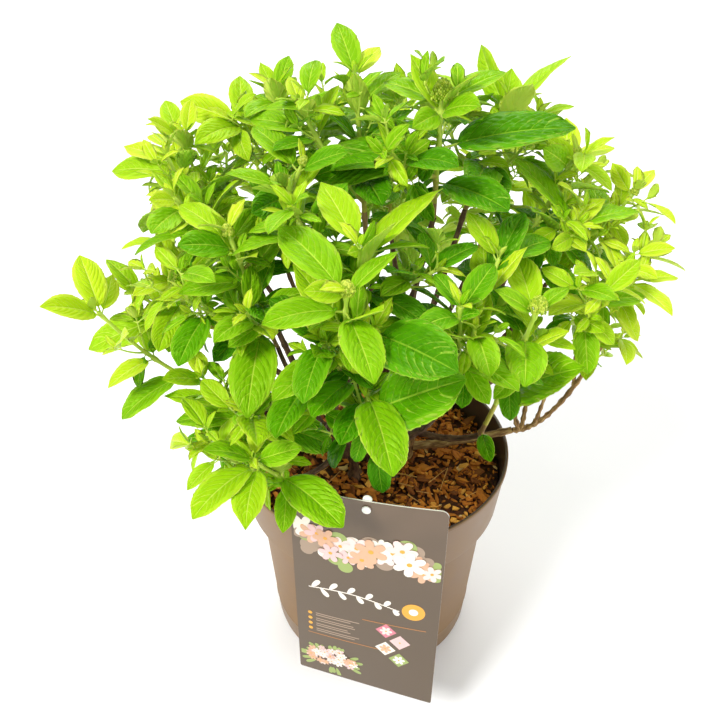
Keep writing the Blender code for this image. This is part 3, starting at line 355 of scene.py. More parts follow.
@dataclass(frozen=True)
class PrintedCard(Finish):
    """Offset-printed polypropylene card: a smooth satin lacquer over a ground that pales
    towards the top and has a soft, out-of-focus cloud in it."""

    roughness: float = 0.3
    ior: float = 1.49
    coat: float = 0.15
    pale: str = "#715C49"
    cloud_mm: float = 26.0
    peel_mm: float = 3.0
    fade_low: float = 0.13
    fade_high: float = 0.21

    def pattern(self, made: Material, place: NodeSocket) -> None:
        """Fade the ground upwards with a soft cloud and lay a trace of orange peel.

        Args:
            made: The material.
            place: Where each point lies in the pattern.
        """
        split = add_node(made, "SeparateXYZ", {0: place})
        rise = add_node(made, "MapRange", {
            "Value": split.outputs["Z"], "From Min": self.fade_low, "From Max": self.fade_high})
        cloud = add_node(made, "TexNoise", {"Vector": place, "Scale": per_mm(self.cloud_mm), "Detail": 1.0})
        fade = add_node(made, "Math", {0: rise, 1: cloud}, operation="MULTIPLY")
        add_node(made, "Mix", {"Factor": fade, "A": linear(self.colour), "B": linear(self.pale)}, "Base Color",
                 data_type="RGBA")
        peel = add_node(made, "TexNoise", {"Vector": place, "Scale": per_mm(self.peel_mm)})
        add_node(made, "Bump", {"Height": peel, "Strength": 0.08, "Distance": 0.1 * MM}, "Normal")


@dataclass(frozen=True)
class Ink(Finish):
    """Offset ink under lacquer, with the faint unevenness of a printed solid."""

    roughness: float = 0.3
    ior: float = 1.49
    peel_mm: float = 3.0

    def pattern(self, made: Material, place: NodeSocket) -> None:
        """Vary the lacquer's surface a trace.

        Args:
            made: The material.
            place: Where each point lies in the pattern.
        """
        peel = add_node(made, "TexNoise", {"Vector": place, "Scale": per_mm(self.peel_mm)})
        add_node(made, "Displacement", {"Height": peel, "Midlevel": 0.5, "Scale": 0.02 * MM}, "Displacement")


@dataclass(frozen=True)
class InjectedPolypropylene(Finish):
    """Injection-moulded white polypropylene: glossy enough for a soft highlight, faintly waxy."""

    roughness: float = 0.35
    ior: float = 1.49
    flow_mm: float = 4.0

    def pattern(self, made: Material, place: NodeSocket) -> None:
        """Give the skin its slight flow marks.

        Args:
            made: The material.
            place: Where each point lies in the pattern.
        """
        flow = add_node(made, "TexNoise", {"Vector": place, "Scale": per_mm(self.flow_mm), "Detail": 2.0})
        add_node(made, "MapRange", {"Value": flow, "To Min": self.roughness - 0.08,
                                    "To Max": self.roughness + 0.08}, "Roughness")
        add_node(made, "Bump", {"Height": flow, "Strength": 0.1, "Distance": 0.1 * MM}, "Normal")


@dataclass(frozen=True)
class FloorPaint(Finish):
    """Matt white studio paint with a trace of roller texture."""

    nap_mm: float = 1.5

    def pattern(self, made: Material, place: NodeSocket) -> None:
        """Roll a fine nap into the paint.

        Args:
            made: The material.
            place: Where each point lies in the pattern.
        """
        nap = add_node(made, "TexNoise", {"Vector": place, "Scale": per_mm(self.nap_mm)})
        add_node(made, "Displacement", {"Height": nap, "Midlevel": 0.5, "Scale": 0.02 * MM}, "Displacement")


# ---- meshes

Triple = tuple[float, ...]
Loops = tuple[tuple[int, ...], ...]
Solid = tuple[list[Vector], Loops]


@cache
def circle(sides: int) -> tuple[tuple[float, float], ...]:
    """The corners of a unit ring, counter-clockwise from the first axis."""
    return tuple((cos(tau * k / sides), sin(tau * k / sides)) for k in range(sides))


def ring(centre: Vector, across: Vector, beside: Vector, reach: float, sides: int) -> list[Vector]:
    """The corners of a ring round a centre, in the plane of two spokes."""
    return [centre + (across * x + beside * y) * reach for x, y in circle(sides)]


@cache
def tube_loops(rings: int, sides: int) -> Loops:
    """The faces of a closed tube made of rings, as the numbers of their corners."""
    faces = [tuple(reversed(range(sides)))]
    for low in range(0, (rings - 1) * sides, sides):
        for side in range(sides):
            nxt = low + (side + 1) % sides
            faces.append((low + side, nxt, nxt + sides, low + sides + side))
    faces.append(tuple(range((rings - 1) * sides, rings * sides)))
    return tuple(faces)


@cache
def runs(loops: Loops) -> tuple[np.ndarray, np.ndarray]:
    """Faces as one run of corner numbers, and the number of corners of each."""
    corners = np.array([n for loop in loops for n in loop], np.int32)
    return corners, np.array([len(loop) for loop in loops], np.int32)


class Heap:
    """Many small shapes gathered into one mesh, each face in the slot of its finish."""

    def __init__(self) -> None:
        """Start empty."""
        self.shapes: list[tuple[np.ndarray, ...]] = []
        self.finishes: list[Finish] = []
        self.count = 0

    def slot(self, finish: Finish) -> int:
        """The number of a finish's slot, added if it is new."""
        if finish not in self.finishes:
            self.finishes.append(finish)
        return self.finishes.index(finish)

    def add(self, points: Sequence[Vector] | np.ndarray, loops: Loops,
            dress: Finish | Sequence[int] | np.ndarray, grain: Sequence[Triple] | np.ndarray = ()) -> None:
        """Add one shape.

        Args:
            points: Its vertices.
            loops: Its faces.
            dress: One finish for all, or the slot of each face.
            grain: The place of each vertex in the shape's own grain; its points if left out.
        """
        corners, sizes = runs(loops)
        points = np.asarray(points)
        slots = np.asarray(self.slot(dress) if isinstance(dress, Finish) else dress, np.int32)
        self.shapes.append((points, np.asarray(grain) if len(grain) else points, corners + self.count, sizes,
                            np.broadcast_to(slots, sizes.shape)))
        self.count += len(points)

    def tool(self, name: str) -> Object:
        """Make the mesh as a bare object.

        Args:
            name: Its name.

        Returns:
            The object.
        """
        mesh = bpy.data.meshes.new(name)
        points, grains, corners, sizes, slots = (np.concatenate(part) for part in zip(*self.shapes))
        mesh.vertices.add(len(points))
        mesh.vertices.foreach_set("co", points.astype(np.float32).ravel())
        mesh.loops.add(len(corners))
        mesh.loops.foreach_set("vertex_index", corners)
        mesh.polygons.add(len(sizes))
        mesh.polygons.foreach_set("loop_start", np.cumsum(sizes) - sizes)
        mesh.polygons.foreach_set("material_index", slots)
        for finish in self.finishes:
            mesh.materials.append(finish.material())
        grain = mesh.attributes.new("grain", "FLOAT_VECTOR", "POINT")
        grain.data.foreach_set("vector", grains.astype(np.float32).ravel())
        mesh.update(calc_edges=True)
        mesh.validate()
        mesh.shade_smooth()
        obj = bpy.data.objects.new(name, mesh)
        bpy.context.scene.collection.objects.link(obj)
        return obj

    def piece(self, name: str, slot: str, *nodes: str) -> Object:
        """Make the piece, which rides the body and stands for some nodes.

        Args:
            name: The piece's name.
            slot: The material slot that it takes its finish from; not used.
            *nodes: The CAD nodes that it replaces.

        Returns:
            The object.
        """
        obj = self.tool(name)
        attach(obj, BODY)
        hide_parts(*nodes)
        LOG.info("%s: %d faces", name, len(obj.data.polygons))
        return obj


def sharpen(obj: Object, degrees: float) -> None:
    """Keep edges above an angle sharp on a smooth piece."""
    obj.data.set_sharp_from_angle(angle=radians(degrees))


def cut(obj: Object, tool: Object) -> None:
    """Cut a tool's shape out of an object and remove the tool.

    Args:
        obj: The object.
        tool: The tool.
    """
    step = obj.modifiers.new("cut", "BOOLEAN")
    step.operation, step.object, step.solver = "DIFFERENCE", tool, "EXACT"
    evaluated = obj.evaluated_get(bpy.context.evaluated_depsgraph_get())
    obj.data = bpy.data.meshes.new_from_object(evaluated)
    obj.modifiers.remove(step)
    bpy.data.objects.remove(tool)


def lathe(profile: Sequence[tuple[float, float]], sides: int) -> tuple[np.ndarray, Loops]:
    """Turn a profile about the Z axis.

    Args:
        profile: (radius, height) points; a radius of 0 is a point on the axis.
        sides: The number of sides.

    Returns:
        The vertices and the faces.
    """
    points: list[Triple] = []
    rings: list[list[int]] = []
    for radius, height in profile:
        if radius == 0.0:
            rings.append([len(points)] * sides)
            points.append((0.0, 0.0, height))
            continue
        rings.append(list(range(len(points), len(points) + sides)))
        points += [(radius * x, radius * y, height) for x, y in circle(sides)]
    faces = []
    for low, high in zip(rings, rings[1:]):
        for k in range(sides):
            nxt = (k + 1) % sides
            faces.append(tuple(dict.fromkeys((low[k], low[nxt], high[nxt], high[k]))))
    return np.array(points), tuple(faces)


def rounded(corners: Sequence[Triple], steps: int = 4) -> list[tuple[float, float]]:
    """Round the corners of an open profile.

    Args:
        corners: (x, y, radius) of each corner; a radius of 0 stays sharp.
        steps: The steps round each corner.

    Returns:
        The points of the rounded profile.
    """
    outline: list[tuple[float, float]] = []
    for k, (x, y, radius) in enumerate(corners):
        if radius == 0.0 or k in (0, len(corners) - 1):
            outline.append((x, y))
            continue
        here = Vector((x, y))
        back, ahead = Vector(corners[k - 1][:2]) - here, Vector(corners[k + 1][:2]) - here
        reach = min(radius, 0.49 * back.length, 0.49 * ahead.length)
        start, end = here + back.normalized() * reach, here + ahead.normalized() * reach
        for t in (step / steps for step in range(steps + 1)):
            outline.append(tuple(start.lerp(here, t).lerp(here.lerp(end, t), t)))
    return outline


# ---- how the shrub grows

POT_RADIUS = 95.0 * MM
SOIL_LEVEL = 1.55 * POT_RADIUS
STEM_SIDES, STEM_STEPS = 8, 6
BOUGH_SIDES, BOUGH_STEPS = 6, 3
FLARE = 0.55
FLARE_HEIGHT = 7.0 * MM
NEARLY_UPRIGHT = 0.9
LEAST_SINE = 0.2
TWIG_SIDES, TWIG_STEPS = 3, 4
TWIG_FULLNESS = 1.5
TWIG_TIP = 0.72
SIDE_TWIG = 0.9
SEED = 71

# Turn and lift in degrees, and share of the length, tried in this order for a crowded leaf
TRIES = (
    (0, 0, 1.0), (12, 4, 1.0), (-12, 4, 1.0), (0, 14, 1.0), (0, -14, 1.0),
    (24, -8, 0.95), (-24, -8, 0.95), (22, 12, 0.9), (-22, 12, 0.9), (0, 26, 0.85),
    (0, -28, 0.85), (36, 0, 0.8), (-36, 0, 0.8), (14, 30, 0.7), (-14, 30, 0.7),
    (30, -24, 0.65), (-30, -24, 0.65), (0, 10, 0.55), (44, 8, 0.5), (-44, 8, 0.5),
)
# Degrees of roll tried for a crowded leaf that has its own row
ROLLS = (0, 16, -16, 32, -32)


class Limb(NamedTuple):
    """A stem or bough: one tapering limb, in millimetres."""

    name: str
    parent: str
    along: float
    tip: Triple
    bow: float
    foot_radius: float
    tip_radius: float
    foot: Triple = ()


class Placed(NamedTuple):
    """A leaf placed on its own: where on its shoot, which way it sets out, how long; mm and degrees."""

    along: float
    azimuth: float
    lift: float
    length: float
    roll: float
    curl: float
    age: float


class Shoot(NamedTuple):
    """A green shoot of a foliage mass, in millimetres and degrees; placed holds rows of Placed."""

    along: float
    tip: Triple
    bow: float
    pairs: int
    bare: float
    turn: float
    leaf: float
    droop: float
    crest: float = 0.45
    bud: float = 0.0
    top: float = 0.97
    placed: tuple[Triple, ...] = ()


class Mass(NamedTuple):
    """A foliage mass: the bough it continues, its shoots, main shoot first, and a name of its own."""

    bough: str
    shoots: tuple[Shoot, ...]
    own_name: str = ""

    @property
    def name(self) -> str:
        """The name of the mass's node."""
        return self.own_name or "foliage_" + self.bough


STEMS = (
    Limb("stem_centre", "", 0, (2, 6, 246), 0.02, 4.2, 2.8, (0, 2)),
    Limb("stem_left", "", 0, (-50, 4, 222), -0.06, 3.6, 2.4, (-21, 3)),
    Limb("stem_front_left", "", 0, (-30, -42, 214), -0.06, 3.3, 2.2, (-13, -17)),
    Limb("stem_front_right", "", 0, (30, -44, 216), -0.06, 3.3, 2.2, (12, -18)),
    Limb("stem_right", "", 0, (56, 4, 226), -0.06, 3.8, 2.5, (24, 3)),
    Limb("stem_back_right", "", 0, (36, 48, 228), -0.05, 3.5, 2.3, (13, 21)),
    Limb("stem_back_left", "", 0, (-34, 50, 228), -0.05, 3.5, 2.3, (-12, 21)),
)

BOUGHS = (
    Limb("bough_top", "stem_centre", 1.0, (-6, 16, 322), 0.02, 2.5, 1.7),
    Limb("bough_top_right", "stem_centre", 0.82, (34, 8, 336), -0.16, 2.4, 1.7),
    Limb("bough_upper_front", "stem_centre", 0.66, (-8, -36, 296), -0.14, 2.2, 1.5),
    Limb("bough_far_left", "stem_left", 0.62, (-98, -32, 238), -0.10, 2.2, 1.5),
    Limb("bough_left", "stem_left", 0.86, (-92, 14, 252), -0.12, 2.2, 1.5),
    Limb("bough_upper_left", "stem_left", 1.0, (-72, -2, 296), -0.03, 2.2, 1.5),
    Limb("bough_low_left", "stem_left", 0.26, (-70, -40, 202), -0.12, 2.2, 1.5),
    Limb("bough_front", "stem_front_left", 1.0, (-20, -66, 268), -0.04, 2.0, 1.5),
    Limb("bough_front_left", "stem_front_left", 0.60, (-50, -78, 206), -0.10, 2.0, 1.4),
    Limb("bough_left_shoulder", "stem_front_left", 0.84, (-58, -40, 276), -0.12, 2.0, 1.4),
    Limb("bough_low_front", "stem_front_right", 0.62, (4, -70, 212), -0.12, 2.0, 1.4),
    Limb("bough_front_right", "stem_front_right", 1.0, (48, -58, 262), -0.05, 2.0, 1.5),
    Limb("bough_basal", "stem_right", 0.34, (72, -14, 184), -0.10, 2.4, 1.8),
    Limb("bough_bare", "stem_right", 0.14, (98, 3, 174), -0.03, 3.0, 2.4),
    Limb("bough_right", "stem_right", 0.72, (112, 2, 254), -0.14, 2.3, 1.6),
    Limb("bough_right_shoulder", "stem_right", 1.0, (86, 22, 294), -0.06, 2.3, 1.6),
    Limb("bough_far_right", "stem_right", 0.88, (116, 40, 272), -0.12, 2.2, 1.5),
    Limb("bough_upper_right", "stem_back_right", 1.0, (58, 48, 322), -0.03, 2.2, 1.6),
    Limb("bough_back_right", "stem_back_right", 0.70, (74, 92, 262), -0.12, 2.1, 1.5),
    Limb("bough_back", "stem_back_right", 0.86, (12, 92, 286), -0.12, 2.1, 1.5),
    Limb("bough_upper_back", "stem_back_left", 1.0, (-48, 46, 316), -0.02, 2.2, 1.6),
    Limb("bough_back_left", "stem_back_left", 0.72, (-66, 96, 258), -0.12, 2.1, 1.5),
    Limb("bough_outer_left", "stem_back_left", 0.86, (-90, 52, 296), -0.12, 2.2, 1.5),
)

# Each mass in the order it grows
MASSES = (
    Mass("front", (
        Shoot(0, (-16, -95, 348), -0.05, 3, 0.1, 132, 54, 16, crest=0.9, top=0.66, bud=8, placed=(
            (0.95, 134, 33, 54, 0, 26, 0.25), (0.95, 45, 27, 38, -11, 20, 0.3),
            (0.97, -135, 31, 27, -49, 24, 0.3), (0.84, -154, 19, 44, -11, 34, 0.45),
            (0.84, -72, -3, 47, 0, 30, 0.35))),
        Shoot(0.25, (-28, -86, 312), -0.1, 2, 0.35, 8, 46, 10, crest=0.8, top=0.7, placed=(
            (0.97, -103, 5, 42, 0, 40, 0.6), (0.8, 160, 48, 41, 0, 26, 0.8))),
        Shoot(0.15, (-3, -86, 319), -0.12, 2, 0.35, 60, 50, 22, crest=0.85, top=0.7, placed=(
            (0.97, -60, 21, 68, 16, 22, 1.2),)))),
    Mass("upper_front", (
        Shoot(0, (-10, -68, 357), -0.03, 3, 0.15, 42, 52, 4, crest=0.9, top=0.62, placed=(
            (0.96, 120, 36, 46, 0, 18, 0.08), (0.97, 58, 21, 22, 78, 20, 0.05),
            (0.97, -106, 22, 15, -73, 20, 0.05), (0.8, 42, 31, 64, -13, 18, 0.1))),
        Shoot(0.35, (30, -52, 334), -0.08, 3, 0.35, 100, 40, 8, crest=0.6, top=0.8, placed=(
            (0.96, 94, 29, 28, 32, 14, 0.5), (0.9, 27, 29, 34, 0, 26, 0.7))),
        Shoot(0.3, (-42, -46, 362), -0.08, 4, 0.4, 20, 48, 6))),
    Mass("top", (
        Shoot(0, (-12, 28, 413), 0.01, 4, 0.1, 10, 44, 0, crest=0.7, top=0.72, placed=(
            (0.98, 111, 44, 38, 0, 16, 0.3), (0.98, 57, 33, 28, 0, 20, 0.15),
            (0.8, 41, 31, 36, 0, 20, 0.2))),
        Shoot(0.2, (-43, 18, 400), -0.08, 4, 0.3, 40, 42, 4, crest=0.6, top=0.86, placed=(
            (0.97, 113, 35, 24, 0, 10, 0.1), (0.78, 54, 8, 44, 20, 20, 0.2),
            (0.78, 167, 17, 40, -10, 24, 0.4))),
        Shoot(0.3, (16, 44, 398), -0.08, 3, 0.3, 0, 46, 6))),
    Mass("top_right", (
        Shoot(0, (35, 8, 408), 0.01, 2, 0.62, 57, 46, 8, crest=0.8, top=0.84, bud=12, placed=(
            (0.58, -6, 18, 76, 21, 20, 0.95), (0.58, -177, -6, 73, -10, 20, 0.95),
            (0.3, -54, 13, 57, 15, 24, 0.85), (0.93, 151, 19, 38, -21, 24, 0.4),
            (0.93, 19, 29, 40, 5, 20, 0.4), (0.86, -68, 32, 36, 45, 30, 0.3),
            (0.86, -118, 12, 30, -36, 30, 0.3))),
        Shoot(0.35, (8, -14, 384), -0.1, 3, 0.4, 80, 46, 4))),
    Mass("upper_right", (
        Shoot(0, (81, 52, 387), -0.02, 4, 0.15, 0, 54, 10, crest=0.8, top=0.82, bud=6, placed=(
            (0.4, -85, 10, 44, 41, 24, 0.9), (0.95, 31, 39, 52, -16, 16, 0.3),
            (0.95, 129, 46, 46, -87, 16, 0.3))),
        Shoot(0.3, (98, 66, 362), -0.1, 3, 0.3, 60, 46, 6),
        Shoot(0.25, (44, 84, 376), -0.1, 3, 0.4, 20, 50, 6))),
    Mass("right_shoulder", (
        Shoot(0, (119, 34, 365), -0.03, 4, 0.12, 25, 48, 10, crest=0.7, top=0.86, bud=6, placed=(
            (0.95, 17, 19, 30, 10, 26, 0.3), (0.9, -127, 35, 34, -92, 24, 0.4))),
        Shoot(0.3, (119, 6, 332), -0.1, 3, 0.3, 70, 44, 8, crest=0.7, top=0.7, placed=(
            (0.97, 143, 42, 54, 11, 16, 0.5), (0.97, 15, 17, 44, 5, 30, 0.5))))),
    Mass("far_right", (
        Shoot(0, (163, 44, 336), -0.06, 4, 0.2, 60, 38, 8, crest=0.7, top=0.84, bud=5, placed=(
            (0.97, 43, 31, 26, 0, 16, 0.15), (0.97, 120, 36, 26, -43, 14, 0.15),
            (0.95, -32, -7, 14, 5, 30, 0.1))),
        Shoot(0.3, (142, 18, 334), -0.1, 3, 0.35, 0, 38, 6),
        Shoot(0.25, (138, 74, 324), -0.1, 3, 0.4, 30, 44, 8))),
    Mass("right", (
        Shoot(0, (169, 10, 316), -0.08, 4, 0.28, 40, 34, 12, crest=0.6, top=0.9, bud=6),
        Shoot(0.35, (157, -6, 302), -0.04, 2, 0.4, 80, 34, 14, crest=0.7, top=0.7, placed=(
            (0.97, 14, 3, 32, 10, 20, 0.3), (0.9, -66, 11, 38, 0, 30, 0.3), (0.6, -74, -3, 28, 0, 40, 0.3))),
        Shoot(0.22, (126, -30, 306), -0.1, 4, 0.35, 10, 40, 10))),
    Mass("basal", (
        Shoot(0, (87, -58, 315), -0.04, 2, 0.58, 100, 46, 14, crest=0.8, top=0.7, bud=10, placed=(
            (0.95, 102, 37, 44, 0, 24, 0.25), (0.96, 39, 27, 28, -11, 24, 0.2),
            (0.96, -168, 43, 30, -40, 24, 0.2), (0.82, -100, 19, 50, 0, 36, 0.5),
            (0.82, 106, 17, 48, 0, 20, 0.7), (0.36, -47, 53, 73, 36, 24, 0.15),
            (0.03, -87, 5, 27, 20, 30, 0.5))),), "foliage_basal_shoot"),
    Mass("bare", (
        Shoot(0, (152, 10, 244), -0.22, 2, 0.88, 30, 20, 0),
        Shoot(0.06, (92, 6, 210), -0.05, 0, 0, 0, 0, 0),
        Shoot(0.1, (108, 12, 206), -0.1, 0, 0, 0, 0, 0),
        Shoot(0.26, (117, 2, 206), -0.12, 0, 0, 0, 0, 0),
        Shoot(0.72, (136, 14, 238), -0.12, 0, 0, 0, 0, 0)), "bare_twigs"),
    Mass("front_right", (
        Shoot(0, (43, -72, 324), -0.05, 3, 0.12, 30, 50, 12, crest=0.8, top=0.66, placed=(
            (0.96, 129, 43, 25, 0, 26, 0.55), (0.96, 48, 33, 34, 21, 16, 0.5),
            (0.88, -135, 34, 32, -18, 60, 0.6), (0.88, -81, 50, 18, 71, 55, 0.6))),
        Shoot(0.22, (52, -70, 308), -0.1, 3, 0.3, 80, 46, 16, crest=0.7, top=0.7, placed=(
            (0.97, -83, 9, 36, 0, 34, 0.5),)),
        Shoot(0.34, (67, -36, 333), -0.08, 2, 0.4, 20, 44, 8, crest=0.8, top=0.7, placed=(
            (0.97, 113, 31, 38, 0, 20, 0.3), (0.97, 35, 10, 41, 5, 20, 0.45),
            (0.8, 116, -4, 40, -29, 24, 0.85), (0.8, 58, 49, 46, 0, 20, 0.8))))),
    Mass("low_front", (
        Shoot(0, (-6, -88, 281), -0.06, 2, 0.34, 90, 50, 34, crest=0.9, top=0.6, placed=(
            (0.97, -78, 10, 60, 0, 36, 0.65), (0.9, -113, 11, 38, 0, 30, 0.85),
            (0.78, -47, 45, 74, 35, 24, 0.8))),
        Shoot(0.3, (-13, -82, 286), -0.1, 2, 0.45, 60, 40, 30, crest=0.8, top=0.7, placed=(
            (0.97, -121, 18, 42, 0, 30, 0.65),)),
        Shoot(0.2, (-41, -78, 277), -0.1, 2, 0.4, 20, 44, 24, crest=0.8, top=0.7, placed=(
            (0.97, -107, 15, 44, 0, 34, 0.6),)))),
    Mass("front_left", (
        Shoot(0, (-68, -104, 246), -0.06, 2, 0.14, 128, 36, 22, crest=0.8, top=0.3, placed=(
            (0.42, -45, 11, 56, 0, 30, 0.5), (0.42, 41, 42, 18, 0, 20, 0.2),
            (0.97, -141, 50, 36, -19, 30, 0.4), (0.97, 85, 33, 30, -11, 20, 0.1),
            (0.95, -21, 37, 32, 45, 24, 0.4), (0.84, -134, 12, 50, 10, 40, 0.4),
            (0.84, -98, 10, 46, 0, 34, 0.12))),
        Shoot(0.22, (-94, -88, 240), -0.1, 3, 0.4, 0, 36, 18))),
    Mass("left_shoulder", (
        Shoot(0, (-79, -44, 353), -0.04, 4, 0.12, 35, 48, 8, crest=0.7, top=0.78, bud=6, placed=(
            (0.9, 145, 30, 41, 0, 24, 0.5), (0.88, -131, 32, 37, -33, 24, 0.5),
            (0.94, 59, 26, 25, 42, 20, 0.35))),
        Shoot(0.25, (-69, -70, 319), -0.1, 2, 0.3, 70, 44, 16, crest=0.7, top=0.5, placed=(
            (0.2, -95, -9, 60, 0, 34, 0.3), (0.2, -138, -1, 36, 0, 30, 0.8),
            (0.97, 85, 34, 30, 43, 16, 0.3), (0.6, -118, 36, 36, -12, 60, 0.35))),
        Shoot(0.22, (-104, -54, 318), -0.1, 3, 0.4, 0, 44, 14))),
    Mass("low_left", (
        Shoot(0, (-103, -45, 256), -0.1, 3, 0.12, 0, 42, 18, crest=0.8, top=0.7, placed=(
            (0.97, -132, 42, 32, -23, 30, 0.35), (0.97, 118, 32, 26, 0, 20, 0.05),
            (0.1, -168, 19, 50, 11, 36, 0.45))),
        Shoot(0.3, (-70, -82, 262), -0.1, 3, 0.4, 90, 50, 34, crest=0.9))),
    Mass("far_left", (
        Shoot(0, (-164, -28, 293), -0.1, 1, 0.62, 50, 34, 4, crest=0.8, top=0.62, placed=(
            (0.97, 120, 51, 40, 0, 24, 0.3), (0.96, -122, 43, 44, -34, 24, 0.2),
            (0.97, 82, 29, 30, 53, 16, 0.1), (0.55, -134, 7, 34, -10, 40, 0.35),
            (0.55, 112, 18, 32, 0, 20, 0.35), (0.3, -144, -3, 46, 0, 36, 0.5))),)),
    Mass("left", (
        Shoot(0, (-149, 5, 285), -0.1, 3, 0.3, 20, 38, 8, crest=0.8, top=0.7, placed=(
            (0.97, 145, 42, 33, 0, 24, 0.4), (0.97, -88, 21, 17, -57, 20, 0.2),
            (0.7, 77, 48, 44, 50, 14, 0.4), (0.62, -159, -4, 60, -19, 26, 0.4))),
        Shoot(0.3, (-126, 38, 292), -0.1, 3, 0.4, 60, 44, 10),
        Shoot(0.25, (-122, -14, 304), -0.1, 3, 0.4, 0, 40, 10))),
    Mass("upper_left", (
        Shoot(0, (-112, -16, 360), -0.04, 4, 0.12, 10, 46, 8, crest=0.7, top=0.8, placed=(
            (0.97, 130, 30, 26, 21, 16, 0.2), (0.97, -111, 29, 24, -48, 20, 0.2),
            (0.9, -107, 11, 34, -15, 24, 0.6))),
        Shoot(0.3, (-120, 16, 370), -0.12, 3, 0.3, 60, 46, 6, crest=0.7, top=0.8, placed=(
            (0.97, 154, 12, 34, -10, 14, 0.05), (0.9, 167, 4, 43, -20, 24, 0.25))),
        Shoot(0.2, (-41, -8, 377), -0.1, 3, 0.3, 40, 46, 6, crest=0.8, top=0.7, bud=5, placed=(
            (0.94, 134, 32, 42, 0, 24, 0.5), (0.94, -30, 36, 36, 33, 20, 0.35),
            (0.78, -108, 18, 40, -42, 24, 0.9))))),
    Mass("outer_left", (
        Shoot(0, (-121, 48, 373), -0.06, 4, 0.15, 30, 44, 6, crest=0.7, top=0.82, placed=(
            (0.97, 115, 39, 28, 0, 14, 0.35), (0.97, -127, 42, 26, -52, 8, 0.1))),
        Shoot(0.25, (-138, 76, 334), -0.1, 3, 0.35, 0, 48, 12),
        Shoot(0.25, (-98, 84, 346), -0.1, 3, 0.4, 60, 48, 8))),
    Mass("upper_back", (
        Shoot(0, (-60, 57, 395), -0.02, 4, 0.12, 0, 46, 6, crest=0.7, top=0.84, placed=(
            (0.97, 124, 43, 24, 0, 8, 0.02), (0.97, 69, 45, 28, 0, 14, 0.3))),
        Shoot(0.25, (-83, 60, 378), -0.1, 3, 0.35, 70, 44, 6, crest=0.8, top=0.8, placed=(
            (0.96, 97, 41, 34, 0, 14, 0.3), (0.9, -121, 21, 44, -21, 44, 0.25),
            (0.96, 167, 14, 44, -62, 20, 0.3))),
        Shoot(0.2, (-28, 84, 374), -0.1, 3, 0.35, 30, 50, 8))),
    Mass("back_left", (
        Shoot(0, (-84, 128, 318), -0.06, 4, 0.1, 20, 56, 16),
        Shoot(0.25, (-112, 112, 270), -0.1, 3, 0.4, 70, 52, 20),
        Shoot(0.2, (-48, 136, 280), -0.1, 3, 0.35, 0, 54, 20))),
    Mass("back", (
        Shoot(0, (12, 122, 350), -0.05, 5, 0.1, 0, 56, 12),
        Shoot(0.25, (-22, 136, 312), -0.1, 4, 0.35, 60, 52, 16),
        Shoot(0.2, (34, 138, 270), -0.1, 3, 0.35, 20, 54, 22))),
    Mass("back_right", (
        Shoot(0, (96, 118, 324), -0.06, 4, 0.1, 10, 56, 16),
        Shoot(0.25, (130, 96, 282), -0.1, 3, 0.35, 60, 52, 20),
        Shoot(0.2, (68, 140, 286), -0.1, 3, 0.35, 30, 54, 20))),
)


@dataclass(frozen=True)
class Path:
    """A curve from foot to tip through one control point, with a tapering radius."""

    foot: Vector
    control: Vector
    tip: Vector
    foot_radius: float
    tip_radius: float
    flare: float = 0.0

    @cached_property
    def span(self) -> float:
        """The straight distance from foot to tip."""
        return (self.tip - self.foot).length

    def point(self, t: float) -> Vector:
        """The point at share t of the way."""
        start = self.foot.lerp(self.control, t)
        return start.lerp(self.control.lerp(self.tip, t), t)

    def on_runs(self, t: float) -> Vector:
        """The point at share t of the straight runs that a twig's solid is made of."""
        run = min(int(t * TWIG_STEPS), TWIG_STEPS - 1)
        ahead = self.point((run + 1) / TWIG_STEPS)
        return self.point(run / TWIG_STEPS).lerp(ahead, t * TWIG_STEPS - run)

    def heading(self, t: float) -> Vector:
        """The unit direction at share t."""
        return (self.control - self.foot).lerp(self.tip - self.control, t).normalized()

    def radius(self, t: float) -> float:
        """The radius at share t, swollen at a flared foot."""
        swell = 1.0 + self.flare * exp(-t * self.span / FLARE_HEIGHT)
        return (self.foot_radius + t * (self.tip_radius - self.foot_radius)) * swell

    def frames(self, runs_made: int) -> list[tuple[float, Vector, Vector, Vector]]:
        """Stations along the path, turning no more than the curve does.

        Args:
            runs_made: The number of equal runs between them.

        Returns:
            The share, the centre and two spokes of each.
        """
        across = self.heading(0.0).orthogonal().normalized()
        if self.heading(0.0).z > NEARLY_UPRIGHT:
            across = Vector((1.0, 0.0, 0.0))
        stations = []
        for t in (k / runs_made for k in range(runs_made + 1)):
            ahead = self.heading(t)
            across = (across - ahead * across.dot(ahead)).normalized()
            stations.append((t, self.point(t), across, ahead.cross(across)))
        return stations

    def tube(self, sides: int, steps: int, fullness: float = 1.0) -> Solid:
        """A closed round solid along the path.

        Args:
            sides: The number of sides.
            steps: The number of straight runs.
            fullness: What the radius is multiplied by.

        Returns:
            Its vertices and faces.
        """
        rings = [ring(centre, across, beside, self.radius(t) * fullness, sides)
                 for t, centre, across, beside in self.frames(steps)]
        return [point for corners in rings for point in corners], tube_loops(steps + 1, sides)

    def twig(self, swell: float = 0.0) -> Solid:
        """The solid of a green shoot on this path."""
        return self.tube(TWIG_SIDES, TWIG_STEPS, TWIG_FULLNESS + swell / self.tip_radius)


def bowed(foot: Vector, tip: Vector, bow: float) -> Vector:
    """The control point of a limb whose middle is lifted by a share of its length."""
    return foot.lerp(tip, 0.5) + UP * (2.0 * bow * (tip - foot).length)


